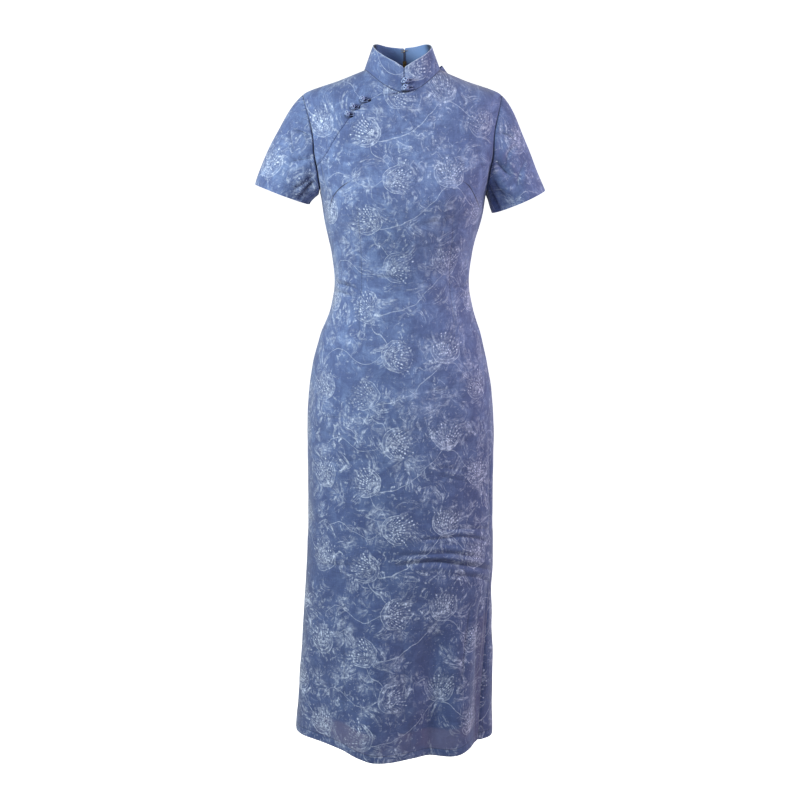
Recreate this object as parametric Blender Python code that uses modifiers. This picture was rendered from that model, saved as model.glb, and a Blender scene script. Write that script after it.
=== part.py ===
"""A cheongsam with short sleeves, as it stands on an unseen figure.

Units are metres. +Z is up, the wearer faces -Y, and the wearer's left is +X. The origin is where the
shoulders hold the dress: on its centre line, at the height of the side neck points. Each cut piece of
cloth is one wall. A place on the body of the dress is an angle round it (0 at the centre front, +90
degrees at the wearer's left side, 180 at the centre back) and a drop below the side neck points, taken
down the side.
"""

import collections
import math

import bmesh
import bpy
import numpy as np
from mathutils import Matrix

# --- Driving dimensions -----------------------------------------------------------------------------
CLOTH = 0.0012  # thickness of the dress cloth with its lining
COLLAR_CLOTH = 0.0014  # the collar's stiffened outer cloth
COLLAR_LINING = 0.0008
SEAM = 0.0003  # gap between two pieces at a seam
CLEAR = 0.0003  # gap between a trim and the cloth that it lies on
SHOULDER_TIP = 0.042  # drop of the shoulder's outer end
ARMPIT = 0.205  # drop of the lowest point of the armhole
WAIST = 0.358
HIP = 0.600
SLIT_TOP = 0.930  # drop at which each side slit starts
HEM = 1.178
SLIT_GAP = 0.0012  # how far the slit's two edges stand apart at the hem
FRONT_CORNERS = ((0, 0.020), (1, 0.010))  # the front's rounded corners where slits and hem meet
BACK_CORNER = 0.004
HEM_REACH = 0.080  # how far above the hem the rows bend to follow it
ARMHOLE_FRONT = 0.050  # how far the armhole reaches in front of the side line
ARMHOLE_BACK = 0.054
ARMHOLE_SKEW = 0.32  # how much further it reaches in its lower half than in its upper half
LAPEL_END = 0.1545  # drop at which the curved front opening meets the armhole
ZIP_TOP_GAP = 0.0024  # gap between the two backs at the neck, where the zip's slider sits
ZIP_TOP_LENGTH = 0.030  # drop over which that gap closes
NECK_TURN = math.radians(7.0)  # how far the back opening sits to the wearer's left at the neck
NECK_TURN_LENGTH = 0.35
EDGE_DIP_POWER = 2.5  # how quickly a ring rises from its dip at the centre to the sides

# Rings of the dress. half_width and lean are across, front and back are depths from the side line,
# the dips are how much further down the ring lies at the centre front and back, and the last two
# say how flat the ring is: 1 is an ellipse, less is squarer.
Ring = collections.namedtuple(
    "Ring", "drop half_width lean front back front_dip back_dip front_flat back_flat"
)
RINGS = [
    Ring(0.000, 0.0643, 0.000, 0.0600, 0.0560, 0.037, 0.008, 1.00, 1.00),  # neckline
    Ring(0.016, 0.1040, 0.000, 0.0680, 0.0660, 0.040, 0.014, 1.05, 1.05),
    Ring(0.042, 0.1690, 0.000, 0.0790, 0.0800, 0.045, 0.022, 1.15, 1.10),  # shoulder tips
    Ring(0.080, 0.1760, 0.000, 0.0900, 0.0920, 0.043, 0.022, 1.10, 1.05),
    Ring(0.125, 0.1720, 0.000, 0.1060, 0.1010, 0.034, 0.016, 1.00, 1.00),  # middle of the armhole
    Ring(0.170, 0.1550, 0.000, 0.1190, 0.1050, 0.022, 0.010, 0.92, 0.96),
    Ring(0.205, 0.1420, 0.001, 0.1240, 0.1050, 0.012, 0.006, 0.88, 0.94),  # armpit and bust
    Ring(0.260, 0.1320, 0.000, 0.1160, 0.1000, 0.004, 0.002, 0.90, 0.95),
    Ring(0.310, 0.1205, -0.001, 0.1040, 0.0900, 0.000, 0.000, 0.92, 0.95),
    Ring(0.358, 0.1160, -0.001, 0.0960, 0.0820, 0.000, 0.000, 0.92, 0.92),  # waist
    Ring(0.400, 0.1225, -0.001, 0.1000, 0.0900, 0.000, 0.000, 0.90, 0.90),
    Ring(0.450, 0.1385, -0.003, 0.1080, 0.1060, 0.000, 0.000, 0.88, 0.88),
    Ring(0.500, 0.1520, -0.004, 0.1150, 0.1180, 0.000, 0.000, 0.88, 0.86),
    Ring(0.600, 0.1630, -0.003, 0.1210, 0.1220, 0.000, 0.000, 0.90, 0.88),  # hips
    Ring(0.760, 0.1630, -0.003, 0.1210, 0.1140, 0.000, 0.000, 0.90, 0.90),
    Ring(0.930, 0.1680, -0.007, 0.1190, 0.1110, 0.000, 0.000, 0.92, 0.92),  # slits start
    Ring(1.060, 0.1730, -0.011, 0.1210, 0.1120, 0.000, 0.000, 0.94, 0.94),
    Ring(1.178, 0.1785, -0.015, 0.1240, 0.1140, 0.000, 0.000, 0.95, 0.95),  # hem
]

# How far the wearer's left side seam, and its slit, swing to the front: a drop and an angle.
Swing = collections.namedtuple("Swing", "drop degrees")
SWINGS = [
    Swing(0.660, 0.0),
    Swing(0.800, 9.0),
    Swing(0.930, 20.0),
    Swing(1.060, 24.0),
    Swing(1.178, 26.0),
]

# How much the hem rises above its lowest line, round the dress from the centre back.
Lift = collections.namedtuple("Lift", "degrees rise")
HEM_LIFTS = [
    Lift(-180, 0.000),
    Lift(-130, 0.003),
    Lift(-105, 0.010),
    Lift(-88, 0.0155),
    Lift(-66, 0.0163),
    Lift(-48, 0.0138),
    Lift(-33, 0.0112),
    Lift(-22, 0.0032),
    Lift(-12, -0.0020),
    Lift(-3, -0.0030),
    Lift(8, -0.0012),
    Lift(19, -0.0028),
    Lift(32, -0.0054),
    Lift(46, 0.0000),
    Lift(60, 0.0020),
    Lift(85, 0.0030),
    Lift(120, 0.0020),
    Lift(180, 0.000),
]

# Folds that hang in the skirt: where round the dress, how wide, how far out at the hem (or in, if
# less than 0), and the drop at which each starts. Angles and widths are in degrees.
Fold = collections.namedtuple("Fold", "angle width out start")
FOLDS = [
    Fold(-14, 14, 0.019, 0.80),
    Fold(20, 9, -0.017, 0.86),
    Fold(39, 8, 0.006, 0.94),
    Fold(60, 11, -0.015, 0.84),
    Fold(-52, 16, -0.010, 0.86),
    Fold(118, 13, 0.010, 0.84),
    Fold(142, 11, -0.009, 0.88),
    Fold(164, 12, 0.012, 0.82),
    Fold(-168, 10, -0.010, 0.90),
    Fold(-146, 13, 0.013, 0.84),
    Fold(-118, 12, -0.009, 0.88),
]

# Soft swellings over the general figure: angle and width in degrees, drop and height of the middle.
Swell = collections.namedtuple("Swell", "angle width drop height out")
SWELLS = [
    Swell(38, 20, 0.205, 0.055, 0.007),  # bust
    Swell(-38, 20, 0.205, 0.055, 0.007),
    Swell(150, 22, 0.150, 0.080, 0.004),  # shoulder blades
    Swell(-150, 22, 0.150, 0.080, 0.004),
    Swell(148, 24, 0.560, 0.080, 0.005),  # seat
    Swell(-148, 24, 0.560, 0.080, 0.005),
]

# The curved front opening, from the centre of the neckline to the armhole on the wearer's right.
Lapel = collections.namedtuple("Lapel", "drop degrees")
LAPEL = [
    Lapel(0.0000, -3.0),
    Lapel(0.0040, -12.0),
    Lapel(0.0090, -21.5),
    Lapel(0.0135, -27.2),
    Lapel(0.0185, -30.2),
    Lapel(0.0260, -31.0),
    Lapel(0.0360, -31.2),
    Lapel(0.0450, -31.8),
    Lapel(0.0580, -33.7),
    Lapel(0.0760, -37.4),
    Lapel(0.1000, -42.6),
    Lapel(0.1280, -49.6),
    Lapel(0.1460, -57.6),
    Lapel(LAPEL_END, -64.0),
]

# Cuffs, one row for each sleeve: side is +1 for the wearer's left, tilt turns the cuff's plane and
# flare is how far from straight down the sleeve reaches it, both in degrees.
Cuff = collections.namedtuple("Cuff", "name side x z half_across half_deep tilt flare")
CUFFS = [
    Cuff("sleeve_left", 1, 0.1995, -0.2215, 0.0490, 0.0500, 23.0, 24.0),
    Cuff("sleeve_right", -1, 0.2040, -0.2080, 0.0486, 0.0500, 20.5, 13.0),
]
CAP_TOP = math.radians(50.0)  # how far from straight down the sleeve leaves the shoulder tip
CAP_BOTTOM = math.radians(14.0)  # and where it leaves the armpit
CAP_PULL = 0.55  # how far the sleeve keeps on in that direction
CAP_SPREAD = 0.45  # how much the sleeve head swells to the front and back

# The stand collar: how high its top edge is round the neck, from the centre front.
Top = collections.namedtuple("Top", "degrees z")
COLLAR_TOPS = [
    Top(0, 0.0045),
    Top(8, 0.0075),
    Top(14, 0.0112),
    Top(24, 0.0158),
    Top(40, 0.0225),
    Top(60, 0.0306),
    Top(90, 0.0400),
    Top(122, 0.0440),
    Top(155, 0.0400),
    Top(180, 0.0380),
]
COLLAR_TOP_HALF_WIDTH = 0.0497
COLLAR_TOP_FRONT = 0.0515
COLLAR_TOP_BACK = 0.0485
COLLAR_FOOT_LIFT = 0.0005  # clears the neckline's edge
COLLAR_FRONT_GAP = 0.0008
COLLAR_BACK_GAPS = [  # height on the collar, and the gap there at the centre back
    (1.00, 0.0004),
    (0.75, 0.0004),
    (0.56, 0.0019),
    (0.28, 0.0022),
    (0.00, 0.0024),
]
COLLAR_FRONT_CORNER = 0.0050  # radius of the rounded front corners
COLLAR_BACK_CORNER = 0.0035
COLLAR_TALL = 0.045
COLLAR_FOOT_RADIUS = 0.060

# Ball buttons of knotted cord, each with a loop round its shank. On the collar a place is a height
# from 0 at its foot to 1 at its top; on the front it is the drop at which the opening passes.
Fastening = collections.namedtuple("Fastening", "on place ball stand cord")
FASTENINGS = [
    Fastening("collar", 0.431, 0.0060, 0.0079, 0.0009),
    Fastening("collar", 0.149, 0.0060, 0.0079, 0.0009),
    Fastening("front", 0.0245, 0.0050, 0.0067, 0.0008),
    Fastening("front", 0.0345, 0.0050, 0.0067, 0.0008),
    Fastening("front", 0.0450, 0.0050, 0.0067, 0.0008),
]
COLLAR_BALL_SHIFT = 0.0020  # towards the wearer's left
FRONT_BALL_SHIFT = 0.0043  # from the opening's edge
FRONT_LOOP_AIM = (0.95, 0.30)  # the way the loops lead from the balls, across and up
SHANK = 0.0010

# The zip in the centre back seam runs up into the collar.
ZIP_LENGTH = 0.50
ZIP_TAPE_WIDTH = 0.010
ZIP_TAPE = 0.0010
ZIP_TAPE_HEIGHTS = (0.27, 0.13, 0.0)  # its rows on the collar, from its top down
SLIDER_HEIGHT = 0.42  # place of the slider on the collar
# The slider: a plate inside the collar, a neck through its opening, a face outside it and an arch
# that carries the pull tab. Blocks are (across, up, out) from low to high, in metres; how far in
# the plate lies follows from the collar's layers. The arch is (up, out); the tab is (across, up)
# from the axis that it turns on, which lies TAB_PIVOT out from the collar.
SLIDER_PLATE_SIZE = (0.0060, 0.0100, 0.0016)
SLIDER_NECK_SIZE = (0.0012, 0.0070)
SLIDER_FACE = ((-0.0022, -0.0045, 0.0004), (0.0022, 0.0045, 0.0014))
SLIDER_ARCH = [
    (-0.0036, 0.0012),
    (0.0036, 0.0012),
    (0.0036, 0.0034),
    (0.0028, 0.0042),
    (-0.0028, 0.0042),
    (-0.0036, 0.0034),
]
SLIDER_ARCH_WIDTH = 0.0016
SLIDER_HOLE = ((-0.0020, -0.0024, 0.0014), (0.0020, 0.0024, 0.0032))
TAB_PIVOT = 0.0023
TAB_OUTLINE = [
    (-0.0021, 0.0006),
    (-0.0025, 0.0002),
    (-0.0025, -0.0056),
    (-0.0017, -0.0078),
    (-0.0017, -0.0096),
    (-0.0027, -0.0128),
    (-0.0026, -0.0150),
    (-0.0014, -0.0168),
    (0.0014, -0.0168),
    (0.0026, -0.0150),
    (0.0027, -0.0128),
    (0.0017, -0.0096),
    (0.0017, -0.0078),
    (0.0025, -0.0056),
    (0.0025, 0.0002),
    (0.0021, 0.0006),
]
TAB_THICKNESS = 0.0010
TAB_WINDOW = ((-0.0013, -0.0047, -0.0025), (0.0013, -0.0006, 0.0025))

# Hook and eye on the collar's lining, (across, up, out) from the centre back of the collar.
HOOK_HEIGHT = 0.90
HOOK_WIRE = 0.0004
HOOK_PATH = [
    (-0.0060, 0.0, -0.0033),
    (-0.0030, 0.0, -0.0035),
    (-0.0016, 0.0, -0.0044),
    (0.0000, 0.0, -0.0050),
    (0.0011, 0.0, -0.0048),
    (0.0016, 0.0, -0.0042),
    (0.0012, 0.0, -0.0036),
    (0.0005, 0.0, -0.0035),
]
EYE_PATH = [
    (0.0055, 0.0016, -0.0033),
    (0.0025, 0.0018, -0.0033),
    (0.0002, 0.0015, -0.0033),
    (-0.0010, 0.0008, -0.0033),
    (-0.0013, 0.0, -0.0033),
    (-0.0010, -0.0008, -0.0033),
    (0.0002, -0.0015, -0.0033),
    (0.0025, -0.0018, -0.0033),
    (0.0055, -0.0016, -0.0033),
]

# How many rows and columns the walls have.
NECK_ROWS = 4
ARMHOLE_ROWS = 8
BODICE_ROWS = 6
HIP_ROWS = 6
SKIRT_ROWS = 6
SLIT_ROWS = 7
FRONT_COLUMNS = 25
SHOULDER_COLUMNS = 7
BACK_COLUMNS = 13
SLEEVE_ROWS = 8
SLEEVE_COLUMNS = 24
COLLAR_COLUMNS = 14
BALL_SIDES = 12
BALL_ROWS = 8

# Colours: base colour, roughness, metallic.
CLOTH_LOOK = ((0.115, 0.175, 0.380, 1.0), 0.75, 0.0)
LINING_LOOK = ((0.150, 0.230, 0.480, 1.0), 0.55, 0.0)
CORD_LOOK = ((0.110, 0.160, 0.340, 1.0), 0.65, 0.0)
BRASS_LOOK = ((0.550, 0.390, 0.140, 1.0), 0.35, 1.0)


# --- Smooth tables ----------------------------------------------------------------------------------
def slopes(xs, ys):
    """Slopes at a table's points that keep the curve through them from overshooting."""
    steps = np.diff(xs)
    rises = np.diff(ys) / steps
    found = np.empty(len(xs))
    found[0], found[-1] = rises[0], rises[-1]
    for i in range(1, len(xs) - 1):
        before, after = rises[i - 1], rises[i]
        if before * after <= 0:
            found[i] = 0.0
            continue
        near, far = 2 * steps[i] + steps[i - 1], steps[i] + 2 * steps[i - 1]
        found[i] = (near + far) / (near / before + far / after)
    return found


def smooth_table(xs, ys):
    """A function that runs smoothly through a table's points."""
    xs, ys = np.array(xs, float), np.array(ys, float)
    m = slopes(xs, ys)

    def at(x):
        x = np.clip(x, xs[0], xs[-1])
        i = np.clip(np.searchsorted(xs, x, side="right") - 1, 0, len(xs) - 2)
        step = xs[i + 1] - xs[i]
        t = (x - xs[i]) / step
        return (
            ys[i] * (1 + 2 * t) * (1 - t) ** 2
            + m[i] * step * t * (1 - t) ** 2
            + ys[i + 1] * t * t * (3 - 2 * t)
            + m[i + 1] * step * t * t * (t - 1)
        )

    return at


RING_AT = {
    column: smooth_table([ring.drop for ring in RINGS], [getattr(ring, column) for ring in RINGS])
    for column in Ring._fields[1:]
}
LAPEL_ANGLE = smooth_table(
    [row.drop for row in LAPEL], [math.radians(row.degrees) for row in LAPEL]
)
COLLAR_TOP_AT = smooth_table(
    [math.radians(row.degrees) for row in COLLAR_TOPS], [row.z for row in COLLAR_TOPS]
)
SWING_AT = smooth_table(
    [row.drop for row in SWINGS], [math.radians(row.degrees) for row in SWINGS]
)
HEM_LIFT_AT = smooth_table(
    [math.radians(row.degrees) for row in HEM_LIFTS], [row.rise for row in HEM_LIFTS]
)


def ease(t):
    """0 before 0, 1 after 1, and smooth between them."""
    t = np.clip(t, 0.0, 1.0)
    return t * t * (3 - 2 * t)


# --- The surface of the dress -----------------------------------------------------------------------
def ring_point(angle, drop):
    """A point of the dress before its folds."""
    across, along = np.sin(angle), np.abs(np.cos(angle))
    front = np.cos(angle) > 0
    depth = np.where(front, -RING_AT["front"](drop), RING_AT["back"](drop))
    flat = np.where(front, RING_AT["front_flat"](drop), RING_AT["back_flat"](drop))
    dip = np.where(front, RING_AT["front_dip"](drop), RING_AT["back_dip"](drop))
    return np.stack(
        [
            RING_AT["lean"](drop) + RING_AT["half_width"](drop) * across,
            depth * along**flat,
            -(drop + dip * along**EDGE_DIP_POWER),
        ],
        axis=-1,
    )


def turned(angle, middle):
    """The angle from a fold's middle, between -180 and 180 degrees."""
    return np.arctan2(np.sin(angle - middle), np.cos(angle - middle))


def relief(angle, drop):
    """How far the folds and swellings stand out of the plain ring."""
    out = np.zeros(np.broadcast(angle, drop).shape)
    for fold in FOLDS:
        away = turned(angle, math.radians(fold.angle)) / math.radians(fold.width)
        grown = ease((drop - fold.start) / (HEM - fold.start)) ** 0.8
        out = out + fold.out * np.exp(-(away**2)) * grown
    for swell in SWELLS:
        away = turned(angle, math.radians(swell.angle)) / math.radians(swell.width)
        up = (drop - swell.drop) / swell.height
        out = out + swell.out * np.exp(-(away**2) - up**2)
    return out


def normals(surface, u, v, step_u, step_v):
    """Unit normals of a surface of two arguments, by central differences."""
    along_u = surface(u + step_u, v) - surface(u - step_u, v)
    along_v = surface(u, v + step_v) - surface(u, v - step_v)
    across = np.cross(along_u, along_v)
    return across / np.linalg.norm(across, axis=-1, keepdims=True)


def plain_normal(angle, drop):
    return -normals(ring_point, angle, drop, 0.004, 0.0005)


def dress_point(angle, drop):
    """A point of the dress's outer face."""
    return ring_point(angle, drop) + plain_normal(angle, drop) * relief(angle, drop)[..., None]


def dress_normal(angle, drop):
    return -normals(dress_point, angle, drop, 0.006, 0.001)


# --- Edges of the panels ----------------------------------------------------------------------------
def armhole_reach(z, reach):
    """How far the armhole's edge lies in front of or behind the side line at a height."""
    middle, half = -(SHOULDER_TIP + ARMPIT) / 2, (ARMPIT - SHOULDER_TIP) / 2
    place = np.clip((z - middle) / half, -1, 1)
    return reach * np.sqrt(1 - place**2) * (1 - ARMHOLE_SKEW * place)


def side_edge(drop, facing, side):
    """The angle, from the panel's own centre, of its side edge. side is +1 for the wearer's left."""
    drop = np.asarray(drop, float)
    reach = ARMHOLE_FRONT if facing == "front" else ARMHOLE_BACK
    depth, flat = RING_AT[facing](drop), RING_AT[facing + "_flat"](drop)
    dip = RING_AT[facing + "_dip"](drop)
    slit = SLIT_GAP / 2 * ease((drop - SLIT_TOP) / (HEM - SLIT_TOP))
    along = np.zeros_like(drop)
    for _ in range(30):
        z = -(drop + dip * along**EDGE_DIP_POWER)
        edge = np.maximum(armhole_reach(z, reach), SEAM / 2 + slit)
        along = 0.5 * along + 0.5 * np.clip(edge / depth, 0, 1) ** (1 / flat)
    swing = SWING_AT(drop) * (side > 0) * (-1 if facing == "front" else 1)
    return np.arccos(along) + swing


def corner_lift(distance, radius):
    """How much a rounded corner raises an edge at a distance from the corner's side."""
    inside = np.clip(1 - distance / radius, 0, 1)
    return radius * (1 - np.sqrt(1 - inside**2))


def spread(count, crowd):
    """Places from 0 to 1, closer together near both ends."""
    t = np.linspace(0, 1, count + 1)
    return t - crowd * np.sin(2 * np.pi * t) / (2 * np.pi)


def panel_drops():
    """Drops of the rows, with a row on each of the lines that shape the panels."""
    found = list(np.linspace(0.0, SHOULDER_TIP, NECK_ROWS + 1))
    turn = np.linspace(0, math.pi, ARMHOLE_ROWS + 1)[1:]
    found += list(SHOULDER_TIP + (ARMPIT - SHOULDER_TIP) * (1 - np.cos(turn)) / 2)
    parts = [
        (ARMPIT, WAIST, BODICE_ROWS),
        (WAIST, HIP, HIP_ROWS),
        (HIP, SLIT_TOP, SKIRT_ROWS),
        (SLIT_TOP, HEM, SLIT_ROWS),
    ]
    for start, end, rows in parts:
        found += list(np.linspace(start, end, rows + 1)[1:])
    return np.array(found)


# --- Making objects ---------------------------------------------------------------------------------
Build = collections.namedtuple("Build", "parts cutters origin")  # two collections and an empty


def material(name, look):
    found = bpy.data.materials.new(name)
    found.use_nodes = True
    shader = found.node_tree.nodes["Principled BSDF"]
    shader.inputs["Base Color"].default_value = look[0]
    shader.inputs["Roughness"].default_value = look[1]
    shader.inputs["Metallic"].default_value = look[2]
    found.diffuse_color = look[0]
    return found


def add_part(build, name, data, look, parent=None, location=(0, 0, 0), rotation=(0, 0, 0)):
    """A part with its own material, at a place under its parent, or under the dress's own origin."""
    found = bpy.data.objects.new(name, data)
    data.materials.append(material(name, look))
    build.parts.objects.link(found)
    found.parent = parent or build.origin
    found.location = location
    found.rotation_euler = rotation
    return found


def add_cutter(build, name, data, parent, location=(0, 0, 0), rotation=(0, 0, 0)):
    """A shape that only Boolean modifiers use."""
    found = bpy.data.objects.new(name, data)
    build.cutters.objects.link(found)
    found.parent = parent
    found.location = location
    found.rotation_euler = rotation
    found.display_type = "WIRE"
    found.hide_render = True
    return found


def add_empty(build, name, location=(0, 0, 0), rotation=(0, 0, 0), parent=None):
    found = bpy.data.objects.new(name, None)
    found.empty_display_size = 0.01
    build.parts.objects.link(found)
    found.parent = parent
    found.location = location
    found.rotation_euler = rotation
    return found


def wall(build, name, grid, thickness, look, closed=False):
    """A cloth wall: a loft through rows of points on its outer face, made solid inwards.

    Rows run down it and columns run round it, anticlockwise as seen from above.
    """
    rows, columns = grid.shape[:2]
    shape = bmesh.new()
    placed = [[shape.verts.new(point) for point in row] for row in grid]
    for row in range(rows - 1):
        for column in range(columns if closed else columns - 1):
            after = (column + 1) % columns
            shape.faces.new(
                [
                    placed[row][column],
                    placed[row + 1][column],
                    placed[row + 1][after],
                    placed[row][after],
                ]
            )
    mesh = bpy.data.meshes.new(name)
    shape.to_mesh(mesh)
    shape.free()
    mesh.shade_smooth()
    found = add_part(build, name, mesh, look)
    solid = found.modifiers.new("thickness", "SOLIDIFY")
    solid.thickness = thickness
    solid.offset = -1.0
    return found


def dress_panel(build, name, drops, starts, ends, columns, corners=()):
    """A panel of the dress between two edges, given as angles at each row's drop."""
    across = spread(columns, 0.45)[None, :]
    starts, ends = np.asarray(starts)[:, None], np.asarray(ends)[:, None]
    angle = starts + (ends - starts) * across
    drop = np.repeat(drops[:, None], columns + 1, axis=1)
    around = np.abs(ends[-1] - starts[-1]) * RING_AT["half_width"](HEM) * 0.86
    lift = HEM_LIFT_AT(turned(angle, 0.0))
    for end, radius in corners:
        lift = lift + corner_lift(np.abs(across - end) * around, radius)
    low = ease((drop - (HEM - HEM_REACH)) / HEM_REACH)
    drop = drop - lift * low
    return wall(build, name, dress_point(angle, drop), CLOTH, CLOTH_LOOK)


def centre_back(drop):
    """The angle of the centre back seam, which leans towards the wearer's left at the neck."""
    return math.pi - NECK_TURN * (1 - ease(drop / NECK_TURN_LENGTH))


def lapel_edge(drop, side):
    """The front opening's edge: side +1 is the main front's, and -1 the shoulder piece's."""
    shift = 0.7 * SEAM
    angle = LAPEL_ANGLE(np.asarray(drop, float) - side * shift)
    return angle + side * shift / RING_AT["half_width"](drop)


def make_fronts(build):
    drops = panel_drops()
    opening = np.array([row.drop for row in LAPEL])
    upper = np.unique(np.round(np.concatenate([drops[drops < LAPEL_END], opening]), 5))
    upper = upper[np.concatenate([[True], np.diff(upper) > 0.0025])]
    upper[-1] = LAPEL_END
    starts = -side_edge(upper, "front", -1)
    ends = lapel_edge(upper, -1)
    dress_panel(build, "front_shoulder", upper, starts, ends, SHOULDER_COLUMNS)
    main = np.concatenate([upper, drops[drops > LAPEL_END + 0.004]])
    opened = main < LAPEL_END + 0.0005
    starts = np.where(opened, lapel_edge(main, 1), -side_edge(main, "front", -1))
    ends = side_edge(main, "front", 1)
    dress_panel(build, "front_main", main, starts, ends, FRONT_COLUMNS, FRONT_CORNERS)


def make_backs(build):
    drops = panel_drops()
    gap = SEAM + (ZIP_TOP_GAP - SEAM) * (1 - ease(drops / ZIP_TOP_LENGTH))
    centre = gap / 2 / RING_AT["half_width"](drops)
    starts = math.pi - side_edge(drops, "back", 1)
    ends = centre_back(drops) - centre
    dress_panel(build, "back_left", drops, starts, ends, BACK_COLUMNS, ((0, BACK_CORNER),))
    starts = centre_back(drops) + centre
    ends = math.pi + side_edge(drops, "back", -1)
    dress_panel(build, "back_right", drops, starts, ends, BACK_COLUMNS, ((1, BACK_CORNER),))


# --- Sleeves ----------------------------------------------------------------------------------------
def armhole_place(turn):
    """The angle and drop of the armhole's edge: turn 0 is the shoulder tip and 90 degrees the front."""
    middle, half = -(SHOULDER_TIP + ARMPIT) / 2, (ARMPIT - SHOULDER_TIP) / 2
    z = middle + half * np.cos(turn)
    front = np.sin(turn) >= 0
    reach = np.abs(np.sin(turn)) * np.where(front, ARMHOLE_FRONT, ARMHOLE_BACK)
    reach = reach * (1 - ARMHOLE_SKEW * np.cos(turn))
    drop, along = -z, np.zeros_like(z)
    for _ in range(40):
        depth = np.where(front, RING_AT["front"](drop), RING_AT["back"](drop))
        flat = np.where(front, RING_AT["front_flat"](drop), RING_AT["back_flat"](drop))
        dip = np.where(front, RING_AT["front_dip"](drop), RING_AT["back_dip"](drop))
        along = np.clip(reach / depth, 0, 1) ** (1 / flat)
        drop = 0.5 * drop + 0.5 * (-z - dip * along**EDGE_DIP_POWER)
    angle = np.where(front, np.arccos(along), math.pi - np.arccos(along))
    return angle, drop


def sleeve_surface(cuff):
    """The sleeve's outer face as a function of turn round it and place down it, from 0 to 1."""
    tilt = math.radians(cuff.tilt)
    outward = np.array([cuff.side * math.cos(tilt), 0, math.sin(tilt)])
    centre = np.array([cuff.side * cuff.x, 0.002, cuff.z])

    flare = math.radians(cuff.flare)
    arrive = np.array([cuff.side * math.sin(flare), 0, -math.cos(flare)])

    def surface(turn, place):
        angle, drop = armhole_place(turn)
        start = dress_point(cuff.side * angle, drop)
        share = (1 + np.cos(turn)) / 2
        lean = CAP_BOTTOM + (CAP_TOP - CAP_BOTTOM) * share
        leave = np.stack(
            [
                cuff.side * np.sin(lean),
                -CAP_SPREAD * np.sin(turn),
                -np.cos(lean),
            ],
            axis=-1,
        )
        leave = leave / np.linalg.norm(leave, axis=-1, keepdims=True)
        start = start + leave * 1.5 * SEAM + np.array([cuff.side, 0, 0]) * SEAM
        end = (
            centre
            + outward * (cuff.half_across * np.cos(turn))[..., None]
            + np.array([0, -1, 0]) * (cuff.half_deep * np.sin(turn))[..., None]
        )
        reach = np.linalg.norm(end - start, axis=-1, keepdims=True)
        t = place[..., None]
        return (
            start * (1 + 2 * t) * (1 - t) ** 2
            + leave * reach * CAP_PULL * t * (1 - t) ** 2
            + end * t * t * (3 - 2 * t)
            - arrive * reach * 0.9 * t * t * (1 - t)
        )

    return surface


def make_sleeve(build, cuff):
    turn = np.linspace(0, 2 * math.pi, SLEEVE_COLUMNS, endpoint=False)[None, :]
    place = np.linspace(0, 1, SLEEVE_ROWS + 1)[:, None]
    turn, place = np.broadcast_arrays(-cuff.side * turn, place)
    wall(build, cuff.name, sleeve_surface(cuff)(turn, place), CLOTH, CLOTH_LOOK, closed=True)


# --- Collar -----------------------------------------------------------------------------------------
def collar_surface(angle, height):
    """A point of the collar's outer face: angle as on the dress, height from 0 at its foot to 1."""
    foot = dress_point(angle, np.zeros_like(angle)) + np.array([0, 0, COLLAR_FOOT_LIFT])
    depth = np.where(np.cos(angle) > 0, -COLLAR_TOP_FRONT, COLLAR_TOP_BACK)
    top = np.stack(
        [
            COLLAR_TOP_HALF_WIDTH * np.sin(angle),
            depth * np.abs(np.cos(angle)),
            COLLAR_TOP_AT(np.abs(turned(angle, 0.0))),
        ],
        axis=-1,
    )
    return foot + (top - foot) * height[..., None]


def collar_normal(angle, height):
    facing = normals(collar_surface, angle, height, 0.004, 0.01)
    outward = np.sum(facing * collar_surface(angle, height) * [1, 1, 0], axis=-1)
    return facing * np.sign(outward)[..., None]


def make_collar(build, name, side, depth, thickness, look):
    """Half of the collar, or of its lining, which lies deeper inside it."""
    radius = (COLLAR_TOP_HALF_WIDTH + RINGS[0].half_width) / 2
    start = COLLAR_FRONT_GAP / 2 / radius
    rows, gaps = np.array(COLLAR_BACK_GAPS).T[:, :, None]
    end = math.pi - side * NECK_TURN - gaps / 2 / radius
    across = spread(COLLAR_COLUMNS, 0.55)[None, :]
    angle = start + (end - start) * across
    length = (end[0] - start) * radius
    lift = corner_lift(across * length, COLLAR_FRONT_CORNER)
    lift = lift + corner_lift((1 - across) * length, COLLAR_BACK_CORNER)
    height = rows * (1 - lift / COLLAR_TALL)
    if side < 0:
        angle, height = -angle[:, ::-1], height[:, ::-1]
    grid = collar_surface(angle, height) - collar_normal(angle, height) * depth
    wall(build, name, grid, thickness, look)


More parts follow.
